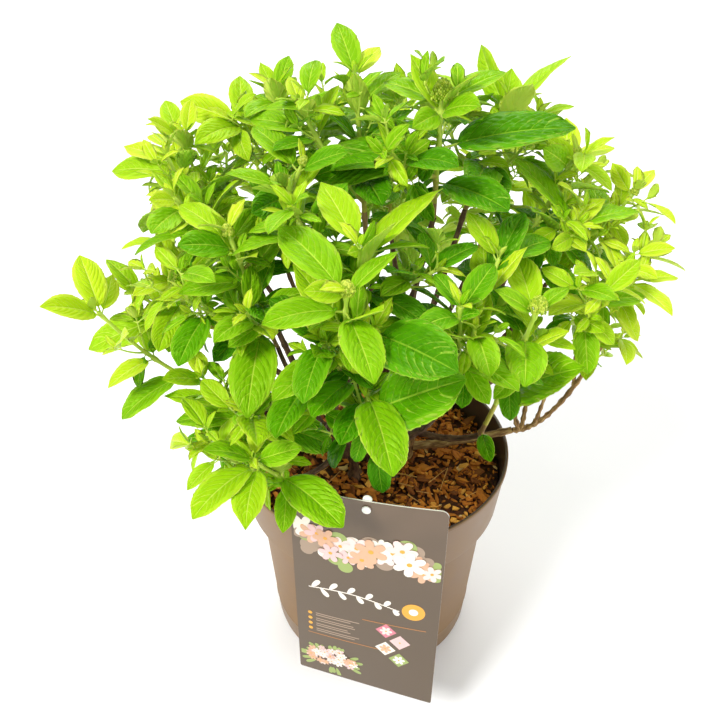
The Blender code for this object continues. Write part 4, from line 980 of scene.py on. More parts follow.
def joint_offset(parent: Path, along: float, heading: Vector, radius: float) -> float:
    """How far along its own heading a limb starts from its parent's axis, to stay clear.

    Args:
        parent: The parent's path.
        along: Where on the parent the limb leaves it.
        heading: The limb's heading.
        radius: The limb's radius at its foot.

    Returns:
        The distance in metres.
    """
    cosine = max(-1.0, min(1.0, parent.heading(along).dot(heading)))
    sine = sqrt(1.0 - cosine * cosine)
    if along >= 1.0:
        return GAP + parent.tip_radius * sine
    return (parent.radius(along) + GAP + radius * abs(cosine)) / max(sine, LEAST_SINE)


def stem_path(limb: Limb) -> Path:
    """A stem's path: upright at its flat cut on the soil, then leaning to its tip."""
    foot = Vector((*limb.foot, 0.0)) * MM + UP * (SOIL_LEVEL + GAP)
    tip = Vector(limb.tip) * MM
    control = foot.lerp(tip, 0.5)
    control.x, control.y = foot.x, foot.y
    return Path(foot, control, tip, limb.foot_radius * MM, limb.tip_radius * MM, FLARE)


def branch_path(parent: Path, along: float, limb: Limb | Shoot, foot_radius: float,
                tip_radius: float) -> Path:
    """A limb's path from the surface of its parent to its own tip.

    Args:
        parent: The parent's path.
        along: Where on the parent the limb leaves it.
        limb: The limb, for its tip and bow.
        foot_radius: Its radius at the foot.
        tip_radius: Its radius at the tip.

    Returns:
        The limb's path.
    """
    start, tip = parent.point(along), Vector(limb.tip) * MM
    heading = (bowed(start, tip, limb.bow) - start).normalized()
    for _ in range(3):
        foot = start + heading * joint_offset(parent, along, heading, foot_radius)
        control = bowed(foot, tip, limb.bow)
        heading = (control - foot).normalized()
    return Path(foot, control, tip, foot_radius, tip_radius)


def limb_paths() -> dict[str, Path]:
    """The path of each stem and bough by name."""
    paths = {limb.name: stem_path(limb) for limb in STEMS}
    for limb in BOUGHS:
        paths[limb.name] = branch_path(paths[limb.parent], limb.along, limb,
                                       limb.foot_radius * MM, limb.tip_radius * MM)
    return paths


def side_path(foot: Vector, tip: Vector, bow: float, radius: float) -> Path:
    """The path of a side twig whose foot lies inside its shoot."""
    return Path(foot, bowed(foot, tip, bow), tip, radius, radius * TWIG_TIP)


def shoot_paths(mass: Mass, bough: Path) -> list[tuple[Shoot, Path]]:
    """Find the path of each shoot of a mass: the main one butts its bough, the rest leave it.

    Args:
        mass: The mass.
        bough: The path of its bough.

    Returns:
        Each shoot with its path.
    """
    main = mass.shoots[0]
    trunk = branch_path(bough, 1.0, main, bough.tip_radius, bough.tip_radius * TWIG_TIP)
    return [(main, trunk)] + [
        (shoot, side_path(trunk.on_runs(shoot.along), Vector(shoot.tip) * MM, shoot.bow,
                          trunk.radius(shoot.along) * SIDE_TWIG)) for shoot in mass.shoots[1:]]


@dataclass(frozen=True)
class Leaf:
    """A leaf's frame and measures, in metres and radians, and how old it looks from 0 to 1."""

    root: Vector
    ahead: Vector
    above: Vector
    length: float
    curl: float
    fold: float
    age: float

    stalk_share: ClassVar[float] = 0.14
    width_share: ClassVar[float] = 0.60
    root_sink: ClassVar[float] = 0.7 * MM
    keel: ClassVar[float] = 0.024
    keel_place: ClassVar[float] = 0.25
    fold_share: ClassVar[float] = 0.35
    widest: ClassVar[float] = 0.42
    shoulder: ClassVar[float] = 0.76
    shoulder_width: ClassVar[float] = 0.66
    own_start: ClassVar[float] = 0.12
    loops: ClassVar[Loops] = (
        (0, 2, 1), (1, 2, 4), (1, 4, 3), (3, 4, 5),
        (0, 1, 6), (1, 3, 6), (3, 5, 6), (5, 4, 6), (4, 2, 6), (2, 0, 6))

    @cached_property
    def stalk(self) -> float:
        """The length of the leaf's stalk."""
        return self.length * self.stalk_share

    def station(self, share: float) -> tuple[Vector, Vector, Vector]:
        """Find a place on the leaf.

        Args:
            share: The share of the blade; from -1 to 0 on the stalk.

        Returns:
            The centre, the heading and the upper normal there.
        """
        if share <= 0.0:
            return self.root + self.ahead * (self.stalk * (1.0 + share)), self.ahead, self.above
        bend = self.curl * share
        radius = (self.length - self.stalk) / self.curl
        centre = self.root + self.ahead * (self.stalk + radius * sin(bend))
        centre -= self.above * (radius * (1.0 - cos(bend)))
        ahead = self.ahead * cos(bend) - self.above * sin(bend)
        return centre, ahead, self.above * cos(bend) + self.ahead * sin(bend)

    def solid(self, start: float | None = None, swell: float = 0.0) -> Solid:
        """The leaf as a plain closed solid: a hollowed blade over a keel.

        Args:
            start: Where along the blade it starts, the root if left out.
            swell: How far it is swollen.

        Returns:
            Its vertices and faces.
        """
        if start is None:
            start = -1.0 - self.root_sink / self.stalk
        root, ahead, above = self.station(start)
        half = 0.5 * (self.length - self.stalk) * self.width_share
        raised = self.fold * self.fold_share
        vertices = [root - ahead * swell]
        for share, width in ((self.widest, half), (self.shoulder, half * self.shoulder_width)):
            centre, ahead, above = self.station(share)
            beside = ahead.cross(above)
            out = (width + swell) * cos(raised)
            rise = width * sin(raised) + swell
            vertices += [centre - beside * out + above * rise, centre + beside * out + above * rise]
        tip, ahead, above = self.station(1.0)
        vertices.append(tip + ahead * swell)
        centre, ahead, above = self.station(self.keel_place)
        vertices.append(centre - above * (self.length * self.keel + swell))
        return vertices, self.loops


class Crowd:
    """The solids grown so far, against which each new one is tested."""

    def __init__(self) -> None:
        """Start empty."""
        self.spheres = np.empty((0, 4))
        self.members: list[tuple[BVHTree, BVHTree, str]] = []

    def add(self, solid: Solid, owner: str, own_solid: Solid | None = None) -> None:
        """Add a solid.

        Args:
            solid: The solid.
            owner: The name of its node.
            own_solid: What members of the same owner must stay clear of, if not all of it.
        """
        middle, reach, tree = self.measure(solid)
        if len(self.members) == len(self.spheres):
            self.spheres = np.vstack((self.spheres, np.empty((1024, 4))))
        self.spheres[len(self.members)] = (*middle, reach)
        self.members.append((tree, BVHTree.FromPolygons(*own_solid) if own_solid else tree, owner))

    def blocks(self, solid: Solid, owner: str, own_solid: Solid | None = None) -> bool:
        """Test a new solid.

        Args:
            solid: The solid.
            owner: The name of its node.
            own_solid: What is tested against members of the same owner; nothing if left out.

        Returns:
            Whether it would touch a member.
        """
        middle, reach, tree = self.measure(solid)
        own_tree = BVHTree.FromPolygons(*own_solid) if own_solid else None
        spheres = self.spheres[:len(self.members)]
        away = spheres[:, :3] - np.array(middle)
        for k in np.flatnonzero((away * away).sum(1) <= (spheres[:, 3] + reach) ** 2):
            other, other_own, other_owner = self.members[k]
            if other_owner != owner:
                if tree.overlap(other):
                    return True
            elif own_tree and own_tree.overlap(other_own):
                return True
        return False

    @staticmethod
    def measure(solid: Solid) -> tuple[Vector, float, BVHTree]:
        """The middle, reach and search tree of a solid."""
        middle = sum(solid[0], Vector()) / len(solid[0])
        return middle, max((v - middle).length for v in solid[0]), BVHTree.FromPolygons(*solid)


def bud_solid(shoot: Shoot, path: Path, swell: float = 0.0) -> Solid:
    """The plain solid of the flower bud at a shoot's tip: a ring between two points.

    Args:
        shoot: The shoot.
        path: Its path.
        swell: How far the solid is swollen.

    Returns:
        Its vertices and faces.
    """
    sides, point, seat = 5, 1.3, 0.5
    ahead = path.heading(1.0)
    across = ahead.orthogonal().normalized()
    radius = 0.5 * shoot.bud * MM + swell
    middle = path.tip + ahead * (seat * radius)
    vertices = [middle - ahead * radius, *ring(middle, across, ahead.cross(across), radius, sides),
                middle + ahead * (radius * point)]
    pairs = [(1 + k, 1 + (k + 1) % sides) for k in range(sides)]
    return vertices, tuple(face for this, nxt in pairs for face in ((0, nxt, this), (sides + 1, this, nxt)))


def level_out(heading: Vector, ahead: Vector) -> Vector:
    """A heading with its share along another taken out, as a unit direction."""
    return (heading - ahead * heading.dot(ahead)).normalized()


@dataclass(frozen=True)
class LeafHabit:
    """How leaves sit on a shoot, from its lowest pair to its highest: degrees and shares."""

    low_rise: float = 2.0
    rise_gain: float = 56.0
    rise_power: float = 1.3
    sink_loss: float = 0.7
    sky_out: float = 0.25
    sky_ahead: float = 0.2
    sky_ahead_gain: float = 0.5
    low_curl: float = 42.0
    curl_loss: float = 22.0
    low_fold: float = 16.0
    fold_gain: float = 16.0
    first_pair: float = 0.62
    broadest_pair: float = 0.4
    crest_power: float = 1.4
    crowding: float = 1.35
    stray_turn: float = 10.0
    stray_rise: float = 9.0
    stray_roll: float = 14.0
    stray_length: float = 0.10
    stray_curl: float = 12.0
    stray_fold: float = 6.0
    placed_fold: float = 24.0
    clearance: float = 0.6 * MM
    lowest: float = SOIL_LEVEL + 12.0 * MM

    def pair_size(self, height: float, crest: float) -> float:
        """The share of its shoot's leaf length that a pair has.

        Args:
            height: The pair's height on its shoot, from 0 to 1.
            crest: The share at the very top.

        Returns:
            The share.
        """
        if height < self.broadest_pair:
            return 1.0 - (1.0 - self.first_pair) * (1.0 - height / self.broadest_pair) ** 2
        rest = (height - self.broadest_pair) / (1.0 - self.broadest_pair)
        return 1.0 - (1.0 - crest) * rest ** self.crest_power

    def place(self, shoot: Shoot, pair: int) -> tuple[float, float]:
        """The height of a pair from 0 to 1 and its share of the way up its shoot."""
        height = pair / max(shoot.pairs - 1, 1)
        return height, shoot.bare + (shoot.top - shoot.bare) * (1.0 - (1.0 - height) ** self.crowding)

    def out_of(self, path: Path, t: float, azimuth: float) -> Vector:
        """The direction out of a shoot at share t, at an azimuth about it from the +X side."""
        ahead = path.heading(t)
        return Quaternion(ahead, azimuth) @ level_out(Vector((1.0, 0.0, 0.0)), ahead)

    def leaf(self, path: Path, t: float, height: float, azimuth: float, shoot: Shoot,
             mood: Sequence[float], effort: Triple) -> Leaf:
        """A leaf on a shoot.

        Args:
            path: The shoot's path.
            t: Where on the path the leaf sits.
            height: Its height from 0 to 1 among the pairs.
            azimuth: Its azimuth about the shoot.
            shoot: The shoot.
            mood: Five draws from -1 to 1 for rise, roll, length, curl and fold.
            effort: Turn, lift and share of the length, to find room.

        Returns:
            The leaf.
        """
        turn, lift, scale = effort
        rise, roll, stretch, more_curl, more_fold = mood
        out, ahead = self.out_of(path, t, azimuth + radians(turn)), path.heading(t)
        elevation = self.low_rise + self.rise_gain * height ** self.rise_power
        elevation = radians(elevation + self.stray_rise * rise + lift)
        heading = out * cos(elevation) + ahead * sin(elevation)
        sink = radians(shoot.droop) * (1.0 - self.sink_loss * height)
        heading = (heading - UP * sin(sink)).normalized()
        sky = UP + out * self.sky_out + ahead * (self.sky_ahead + self.sky_ahead_gain * height)
        above = Quaternion(heading, radians(self.stray_roll * roll)) @ level_out(sky, heading)
        length = shoot.leaf * MM * self.pair_size(height, shoot.crest)
        length *= (1.0 + self.stray_length * stretch) * scale
        curl = radians(self.low_curl - self.curl_loss * height + self.stray_curl * more_curl)
        fold = radians(self.low_fold + self.fold_gain * height + self.stray_fold * more_fold)
        return Leaf(path.on_runs(t), heading, above, length, curl, fold, 1.0 - height)

    def placed_leaf(self, path: Path, row: Placed, roll: float) -> Leaf:
        """A leaf placed on its own.

        Args:
            path: Its shoot's path.
            row: Its place and measures.
            roll: What is added to its roll to find room, in degrees.

        Returns:
            The leaf.
        """
        azimuth, lift = radians(row.azimuth), radians(row.lift)
        level = Vector((cos(azimuth), sin(azimuth), 0.0))
        ahead = level * cos(lift) + UP * sin(lift)
        above = Quaternion(ahead, radians(row.roll + roll)) @ (UP * cos(lift) - level * sin(lift))
        return Leaf(path.on_runs(row.along), ahead, above, row.length * MM, radians(row.curl),
                    radians(self.placed_fold), row.age)


@dataclass(frozen=True)
class FinerGrowth:
    """Growth too fine for the solids: young pairs at the tips and sprigs in the leaf axils.
    Rows hold length and rise, or place, rise and size; degrees, millimetres and shares."""

    tip_pairs: tuple[Triple, ...] = ((17.0, 52.0), (10.0, 72.0))
    tip_turns: Triple = (0.0, 20.0, -20.0, 40.0)
    tip_stretch: Triple = (0.75, 1.2)
    young_curl: Triple = (12.0, 46.0)
    young_roll: float = 0.3
    young_fold: float = radians(38.0)
    sky: float = 0.35
    sprig_chance: float = 0.85
    sprig_reach: Triple = (8.0, 20.0)
    sprig_leaf: Triple = (14.0, 32.0)
    sprig_pairs: tuple[Triple, ...] = ((1.0, 66.0, 0.55), (0.96, 30.0, 1.0), (0.6, 14.0, 1.0))
    sprig_sizes: Triple = (1.0, 0.75, 0.5)
    sprig_stray: float = 12.0
    sprig_lean: float = 0.75
    sprig_sky: float = 0.2
    sprig_bow: float = -0.08
    sprig_radius: float = 0.75 * MM
    sprig_clearance: float = 0.2 * MM
    sprig_age: float = 0.3
    seed: int = 9000


@dataclass
class Sprays:
    """A foliage mass as it grows: its shoots with their paths, its leaves and its sprigs."""

    name: str
    shoots: list[tuple[Shoot, Path]] = field(default_factory=list)
    leaves: list[Leaf] = field(default_factory=list)
    sprigs: list[Path] = field(default_factory=list)


@dataclass
class Growth:
    """The whole shrub as it grows: the limbs first, then every shoot, then the leaves."""

    habit: LeafHabit = LeafHabit()
    finer: FinerGrowth = FinerGrowth()
    crowd: Crowd = field(default_factory=Crowd)
    paths: dict[str, Path] = field(default_factory=limb_paths)
    sprays: list[Sprays] = field(default_factory=list)

    def grow(self) -> None:
        """Grow the shrub round the pot, the root ball and the label."""
        for name in ("pot", "root_ball", "plant_label", "label_stake"):
            mesh = frame["nodes"][name].data
            loops = tuple(tuple(p.vertices) for p in mesh.polygons)
            self.crowd.add(([v.co.copy() for v in mesh.vertices], loops), name)
        for limbs, sides, steps in ((STEMS, STEM_SIDES, STEM_STEPS), (BOUGHS, BOUGH_SIDES, BOUGH_STEPS)):
            for limb in limbs:
                self.crowd.add(self.paths[limb.name].tube(sides, steps), limb.name)
        self.sprays += [self.grow_shoots(mass) for mass in MASSES]
        for sprays in self.sprays:
            self.grow_placed(sprays)
        for k, sprays in enumerate(self.sprays):
            self.grow_leaves(sprays, Random(SEED + k))
        for k, sprays in enumerate(self.sprays):
            rng = Random(self.finer.seed + k)
            self.grow_tips(sprays, rng)
            self.grow_sprigs(sprays, rng)

    def grow_shoots(self, mass: Mass) -> Sprays:
        """Grow a mass's shoots, less the side shoots and buds that would touch another part.

        Args:
            mass: The mass.

        Returns:
            The mass with its shoots.
        """
        sprays = Sprays(mass.name)
        for shoot, path in shoot_paths(mass, self.paths["bough_" + mass.bough]):
            if sprays.shoots and self.crowd.blocks(path.twig(self.habit.clearance), mass.name):
                continue
            self.crowd.add(path.twig(), mass.name)
            if shoot.bud > 0.0:
                if self.crowd.blocks(bud_solid(shoot, path, self.habit.clearance), mass.name):
                    shoot = shoot._replace(bud=0.0)
                else:
                    self.crowd.add(bud_solid(shoot, path), mass.name)
            sprays.shoots.append((shoot, path))
        return sprays

    def fits(self, leaf: Leaf, sprays: Sprays) -> bool:
        """Add a leaf to its mass if it finds room there.

        Args:
            leaf: The leaf.
            sprays: Its mass.

        Returns:
            Whether it was added.
        """
        own, solid = leaf.solid(start=leaf.own_start), leaf.solid()
        if (min(v.z for v in own[0]) < self.habit.lowest
                or self.crowd.blocks(leaf.solid(swell=self.habit.clearance), sprays.name, own)
                or self.crowd.blocks(solid, sprays.name)):
            return False
        self.crowd.add(solid, sprays.name, own)
        sprays.leaves.append(leaf)
        return True

    def settle(self, leaves: Iterable[Leaf], sprays: Sprays) -> bool:
        """Add the first of some leaves that finds room in its mass, and say whether one did."""
        return any(self.fits(leaf, sprays) for leaf in leaves)

    def grow_placed(self, sprays: Sprays) -> None:
        """Grow the leaves placed one by one on a mass's shoots, each rolled a little if it is crowded.

        Args:
            sprays: The mass.
        """
        for shoot, path in sprays.shoots:
            for row in shoot.placed:
                leaves = (self.habit.placed_leaf(path, Placed(*row), roll) for roll in ROLLS)
                if not self.settle(leaves, sprays):
                    LOG.info("no room for a placed leaf of %s: %s", sprays.name, row)

    def grow_leaves(self, sprays: Sprays, rng: Random) -> None:
        """Grow the leaves of a mass that find room: opposite pairs up each shoot.

        Args:
            sprays: The mass.
            rng: The source of chance.
        """
        habit = self.habit
        for shoot, path in sprays.shoots:
            for pair in range(shoot.pairs):
                height, t = habit.place(shoot, pair)
                for side in range(2):
                    azimuth = radians(shoot.turn + 90.0 * pair + 180.0 * side
                                      + rng.uniform(-habit.stray_turn, habit.stray_turn))
                    mood = [rng.uniform(-1.0, 1.0) for _ in range(5)]
                    self.settle((habit.leaf(path, t, height, azimuth, shoot, mood, effort)
                                 for effort in TRIES), sprays)

    def young_leaf(self, path: Path, t: float, azimuth: float, rise: float, length: float,
                   rng: Random) -> Leaf:
        """A young leaf, held up round the tip of its shoot.

        Args:
            path: The shoot's path.
            t: Where on the path it sits.
            azimuth: Its azimuth about the shoot, in degrees.
            rise: How steeply it stands along the shoot, in degrees.
            length: Its length.
            rng: The source of chance.

        Returns:
            The leaf.
        """
        out, ahead = self.habit.out_of(path, t, radians(azimuth)), path.heading(t)
        heading = out * cos(radians(rise)) + ahead * sin(radians(rise))
        inward = ahead * cos(radians(rise)) - out * sin(radians(rise))
        above = level_out((inward + UP * self.finer.sky).normalized(), heading)
        above = Quaternion(heading, rng.uniform(-self.finer.young_roll, self.finer.young_roll)) @ above
        curl = radians(rng.uniform(*self.finer.young_curl))
        return Leaf(path.point(t), heading, above, length, curl, self.finer.young_fold, 0.0)

    def grow_tips(self, sprays: Sprays, rng: Random) -> None:
        """Grow two more young pairs at the tip of each leafy shoot, one where it ends in a bud.

        Args:
            sprays: The mass.
            rng: The source of chance.
        """
        finer = self.finer
        for shoot, path in sprays.shoots:
            pairs = finer.tip_pairs[:1] if shoot.bud > 0.0 else finer.tip_pairs
            for k, (length, rise) in enumerate(pairs if shoot.pairs else ()):
                for side in range(2):
                    azimuth = shoot.turn + 90.0 * (shoot.pairs + k) + 180.0 * side
                    size = length * MM * rng.uniform(*finer.tip_stretch)
                    self.settle((self.young_leaf(path, 1.0, azimuth + turn, rise, size, rng)
                                 for turn in finer.tip_turns), sprays)

    def grow_sprigs(self, sprays: Sprays, rng: Random) -> None:
        """Grow small sprigs in the axils of a mass's leaf pairs, each with some pairs of leaves.

        Args:
            sprays: The mass.
            rng: The source of chance.
        """
        finer = self.finer
        for shoot, path in sprays.shoots:
            for pair in range(shoot.pairs):
                for side in range(2):
                    draw = rng.random()
                    azimuth = shoot.turn + 90.0 * pair + 180.0 * side
                    azimuth += rng.uniform(-finer.sprig_stray, finer.sprig_stray)
                    reach = rng.uniform(*finer.sprig_reach) * MM
                    if draw <= finer.sprig_chance:
                        self.grow_sprig(sprays, path, self.habit.place(shoot, pair)[1], azimuth, reach, rng)

    def grow_sprig(self, sprays: Sprays, path: Path, t: float, azimuth: float, reach: float,
                   rng: Random) -> None:
        """Grow one sprig if it finds room, and keep it if it bears a leaf.

        Args:
            sprays: The mass.
            path: The path of its shoot.
            t: Where on the shoot it leaves.
            azimuth: Its azimuth about the shoot, in degrees.
            reach: How far it stands out.
            rng: The source of chance.
        """
        finer = self.finer
        out = self.habit.out_of(path, t, radians(azimuth))
        heading = (out * finer.sprig_lean + path.heading(t) + UP * finer.sprig_sky).normalized()
        foot = path.on_runs(t)
        tip = foot + heading * (reach + path.radius(t))
        sprig = side_path(foot, tip, finer.sprig_bow, finer.sprig_radius)
        if self.crowd.blocks(sprig.twig(finer.sprig_clearance), sprays.name):
            return
        before = len(sprays.leaves)
        for k, (at, rise, share) in enumerate(finer.sprig_pairs):
            for half in range(2):
                size = rng.uniform(*finer.sprig_leaf) * MM * share
                turned = azimuth + 90.0 * k + 180.0 * half + 45.0
                leaves = (self.young_leaf(sprig, at, turned, rise, size * less, rng)
                          for less in finer.sprig_sizes)
                self.settle((replace(leaf, age=finer.sprig_age) for leaf in leaves), sprays)
        if len(sprays.leaves) > before:
            sprays.sprigs.append(sprig)


# ---- leaves


class Zone(Enum):
    """The parts of a blade that differ in colour."""

    BLADE = 0
    EDGE = 1
    VEIN = 2
    UNDER = 3


@dataclass(frozen=True)
class LeafTones:
    """Colours of a leaf: its blade, its edge and side veins, its midrib and rim, and underneath."""

    name: str
    blade: str
    edge: str
    vein: str
    under: str
    roughness: float
    pucker: float

    @cached_property
    def skins(self) -> tuple[LeafSkin, ...]:
        """The finish of each zone, in the order of Zone."""
        tones = zip(Zone, (self.blade, self.edge, self.vein, self.under))
        return tuple(LeafSkin(f"{self.name} leaf, {zone.name.lower()}", tone, self.roughness,
                              pucker=self.pucker) for zone, tone in tones)


LEAF_TONES = (
    LeafTones("newest", "#BDDB20", "#CBE53C", "#DDEB6E", "#CFE45C", 0.40, 0.3 * MM),
    LeafTones("young", "#9FCA14", "#AFD625", "#CBE056", "#BCD84C", 0.38, 0.45 * MM),
    LeafTones("fresh", "#7FB60C", "#90C31B", "#B6D543", "#A8CC42", 0.36, 0.65 * MM),
    LeafTones("full", "#5DA006", "#70AE10", "#9FC838", "#95BF3A", 0.34, 0.8 * MM),
    LeafTones("firm", "#4A8D06", "#5B9E0F", "#86B52C", "#84B035", 0.32, 0.9 * MM),
    LeafTones("deep", "#377905", "#468B0C", "#6C9E22", "#74A230", 0.30, 0.9 * MM),
)


def mirrored(columns: Sequence[float]) -> list[float]:
    """The places of columns to the left of the midrib, from the left."""
    return [-u for u in reversed(columns)]


@dataclass(frozen=True)
class BladePattern:
    """A leaf blade as rows that follow its side veins from the midrib to the margin."""

    veins: int
    fill: int
    columns: Triple
    under: Triple
    base: Triple = (0.004, 0.014)
    apex: Triple = (0.83, 0.90, 0.95, 0.98)
    first_vein: float = 0.08
    last_vein: float = 0.73
    vein_width: float = 0.006
    sweep: float = 0.42
    sweep_power: float = 1.35
    base_width: float = 0.06
    bulge: float = 0.024
    groove: float = 0.014
    keel: float = 0.016
    tooth: float = 0.04
    dome: float = 0.20
    point: float = 0.76
    full_point: float = 0.88
    rim: float = 0.85
    cell_stretch: float = 0.4
    relief_young: float = 0.5
    narrowing: Triple = (0.82, 0.94)
    wave_height: Triple = (0.02, 0.07)
    wave_count: Triple = (1.3, 2.4)
    wave_slant: Triple = (0.5, 2.0)
    twist: float = 0.35
    thickness: float = 0.35 * MM

    @cached_property
    def rows(self) -> np.ndarray:
        """Each row's place on the midrib, shift along the leaf and height above the veins."""
        rows = [(place, 0.0, 0.0) for place in (0.0, *self.base)]
        previous = 0.0
        for mark in np.linspace(self.first_vein, self.last_vein, self.veins):
            for share in (k / (self.fill + 1) for k in range(1, self.fill + 1)):
                rows.append((previous + (mark - previous) * share, 0.0, sin(pi * share)))
            rows += [(mark, -0.5 * self.vein_width, 0.0), (mark, 0.5 * self.vein_width, 0.0)]
            previous = mark
        return np.array(rows + [(place, 0.0, 0.5 * (1.0 - place)) for place in self.apex])

    @cached_property
    def upper(self) -> np.ndarray:
        """The columns of the upper side from the left margin to the right."""
        return np.array([*mirrored(self.columns[1:]), *self.columns])

    @cached_property
    def lower(self) -> np.ndarray:
        """The columns of the underside between its margins."""
        return np.array([*mirrored(self.under[1:-1]), 0.0, *self.under[1:-1]])

    @cached_property
    def grid(self) -> tuple[np.ndarray, ...]:
        """Along, across, relief, side and place on the midrib of each vertex of the blade."""
        place, shift, height = (column[:, None] for column in self.rows.T)
        parts = []
        for across, side in ((self.upper[None, :], 1.0), (self.lower[None, :], -1.0)):
            out = np.abs(across)
            along = place + self.sweep * np.sin(pi * place ** 0.65) * out ** self.sweep_power
            along = along + shift * (1.0 - 0.7 * out)
            swell = np.clip((out - self.columns[1]) / (1.0 - self.columns[1]), 0.0, 1.0)
            relief = self.bulge * height * np.sin(pi * swell) ** 0.6
            rib = (out < 0.5 * self.columns[1]) * (1.0 - 0.8 * place)
            relief = relief - rib * (self.groove if side > 0.0 else self.keel)
            full = np.ones_like(along)
            parts.append([a.ravel() for a in (along, across * full, relief, side * full, place * full)])
        joined = [np.concatenate(pair) for pair in zip(*parts)]
        return tuple(np.append(a, end) for a, end in zip(joined, (1.0, 0.0, 0.0, 0.0, 1.0)))

    @cached_property
    def layout(self) -> tuple[Loops, np.ndarray]:
        """The faces of the blade and the zone of each."""
        rows, wide, narrow = len(self.rows), len(self.upper), len(self.lower)
        tip = rows * (wide + narrow)
        faces, zones = [], []
        for i in range(rows):
            top = [i * wide + j for j in range(wide)]
            bottom = [top[0], *(rows * wide + i * narrow + j for j in range(narrow)), top[-1]]
            if i == 0:
                faces.append((*reversed(top), *bottom[1:-1]))
                zones.append(Zone.UNDER)
            else:
                for j in range(wide - 1):
                    faces.append((last_top[j], last_top[j + 1], top[j + 1], top[j]))
                    zones.append(self.zone(i, j))
                for j in range(narrow + 1):
                    faces.append((bottom[j], bottom[j + 1], last_bottom[j + 1], last_bottom[j]))
                    zones.append(Zone.UNDER)
            last_top, last_bottom = top, bottom
        faces += [(a, b, tip) for a, b in zip(last_top, last_top[1:])]
        faces += [(b, a, tip) for a, b in zip(last_bottom, last_bottom[1:])]
        zones += [Zone.EDGE] * (wide - 1) + [Zone.UNDER] * (narrow + 1)
        return tuple(faces), np.array([zone.value for zone in zones])

    def zone(self, row: int, column: int) -> Zone:
        """Find the zone of an upper face.

        Args:
            row: The row that it ends at.
            column: The column that it starts at.

        Returns:
            The zone.
        """
        marks = self.rows[:, 1]
        outer = max(abs(self.upper[column]), abs(self.upper[column + 1]))
        on_rim = outer == 1.0 and self.columns[-2] > self.rim
        if outer <= self.columns[1] or on_rim or marks[row - 1] < 0.0 < marks[row]:
            return Zone.VEIN
        return Zone.EDGE if outer > self.rim else Zone.BLADE

    def outline(self, reach: np.ndarray, age: float) -> np.ndarray:
        """The blade's half width along its length: lance-shaped while young, a full oval when grown.

        Args:
            reach: Places along the blade, from 0 to 1.
            age: The leaf's age.

        Returns:
            Half the width at each place, as a share of the greatest.
        """
        slim = np.sin(pi * reach ** 0.94) ** 0.7 * (1.0 - 0.12 * reach ** 2)
        slim *= 1.0 - 0.5 * np.clip((reach - self.point) / (1.0 - self.point), 0.0, 1.0)
        oval = np.sqrt(np.clip(1.0 - (2.0 * reach - 1.0) ** 2, 0.0, 1.0)) * (1.06 - 0.12 * reach)
        oval *= 1.0 - 0.55 * np.clip((reach - self.full_point) / (1.0 - self.full_point), 0.0, 1.0)
        grown = min(1.0, max(0.0, (age - 0.1) / 0.5))
        return slim + (oval - slim) * grown

    def grow(self, leaf: Leaf, rng: Random) -> tuple[np.ndarray, np.ndarray]:
        """Shape the blade for one leaf.

        Args:
            leaf: The leaf.
            rng: The source of chance for its waves and twist.

        Returns:
            The vertices and their grain.
        """
        along, across, relief, side, place = self.grid
        blade = leaf.length - leaf.stalk
        width = np.maximum(self.outline(np.clip(along, 0.0, 1.0), leaf.age), self.base_width * (1.0 - along))
        teeth = self.tooth * (np.arange(len(along)) // len(self.upper) % 2 - 0.4)
        width = width * (1.0 + np.where((np.abs(across) == 1.0) & (side > 0.0), teeth, 0.0))
        half = 0.5 * blade * leaf.width_share * rng.uniform(*self.narrowing)
        out = half * width * across
        raised = leaf.fold * leaf.fold_share
        height = rng.uniform(*self.wave_height)
        phase = tau * (along * rng.uniform(*self.wave_count) + rng.random())
        waves = height * np.sin(phase + across * rng.uniform(*self.wave_slant)) * across ** 2
        rise = np.abs(out) * sin(raised) + half * width * waves
        grown = self.relief_young + (1.0 - self.relief_young) * min(1.0, leaf.age)
        rise += self.dome * half * width * (np.abs(across) - across ** 2) + relief * leaf.length * grown
        rise = rise + 0.5 * self.thickness * side
        out = out * cos(raised)
        twist = rng.uniform(-self.twist, self.twist) * along
        out, rise = out * np.cos(twist) - rise * np.sin(twist), rise * np.cos(twist) + out * np.sin(twist)
        bend = leaf.curl * along
        radius = blade / leaf.curl
        forward = leaf.stalk + radius * np.sin(bend) + rise * np.sin(bend)
        upward = -radius * (1.0 - np.cos(bend)) + rise * np.cos(bend)
        beside = leaf.ahead.cross(leaf.above)
        points = (np.array(leaf.root) + forward[:, None] * np.array(leaf.ahead)
                  + upward[:, None] * np.array(leaf.above) + out[:, None] * np.array(beside))
        shift = rng.random()
        grain = np.stack((across * half, place * leaf.length * self.cell_stretch + shift,
                          np.full_like(along, shift)), axis=1)
        return points, grain


# The blade for leaves above each length
BLADES = (
    (38.0 * MM, BladePattern(7, 2, (0.0, 0.03, 0.2, 0.45, 0.72, 0.965, 1.0), (0.0, 0.2, 0.8, 1.0))),
    (23.0 * MM, BladePattern(6, 1, (0.0, 0.04, 0.3, 0.65, 0.96, 1.0), (0.0, 0.3, 1.0), (0.008,),
                             vein_width=0.010, bulge=0.017)),
    (0.0, BladePattern(3, 1, (0.0, 0.06, 0.5, 1.0), (0.0, 0.5, 1.0), (0.012,), (0.86, 0.96),
                       vein_width=0.016, bulge=0.012)),
)


# ---- shoots, stalks and wood


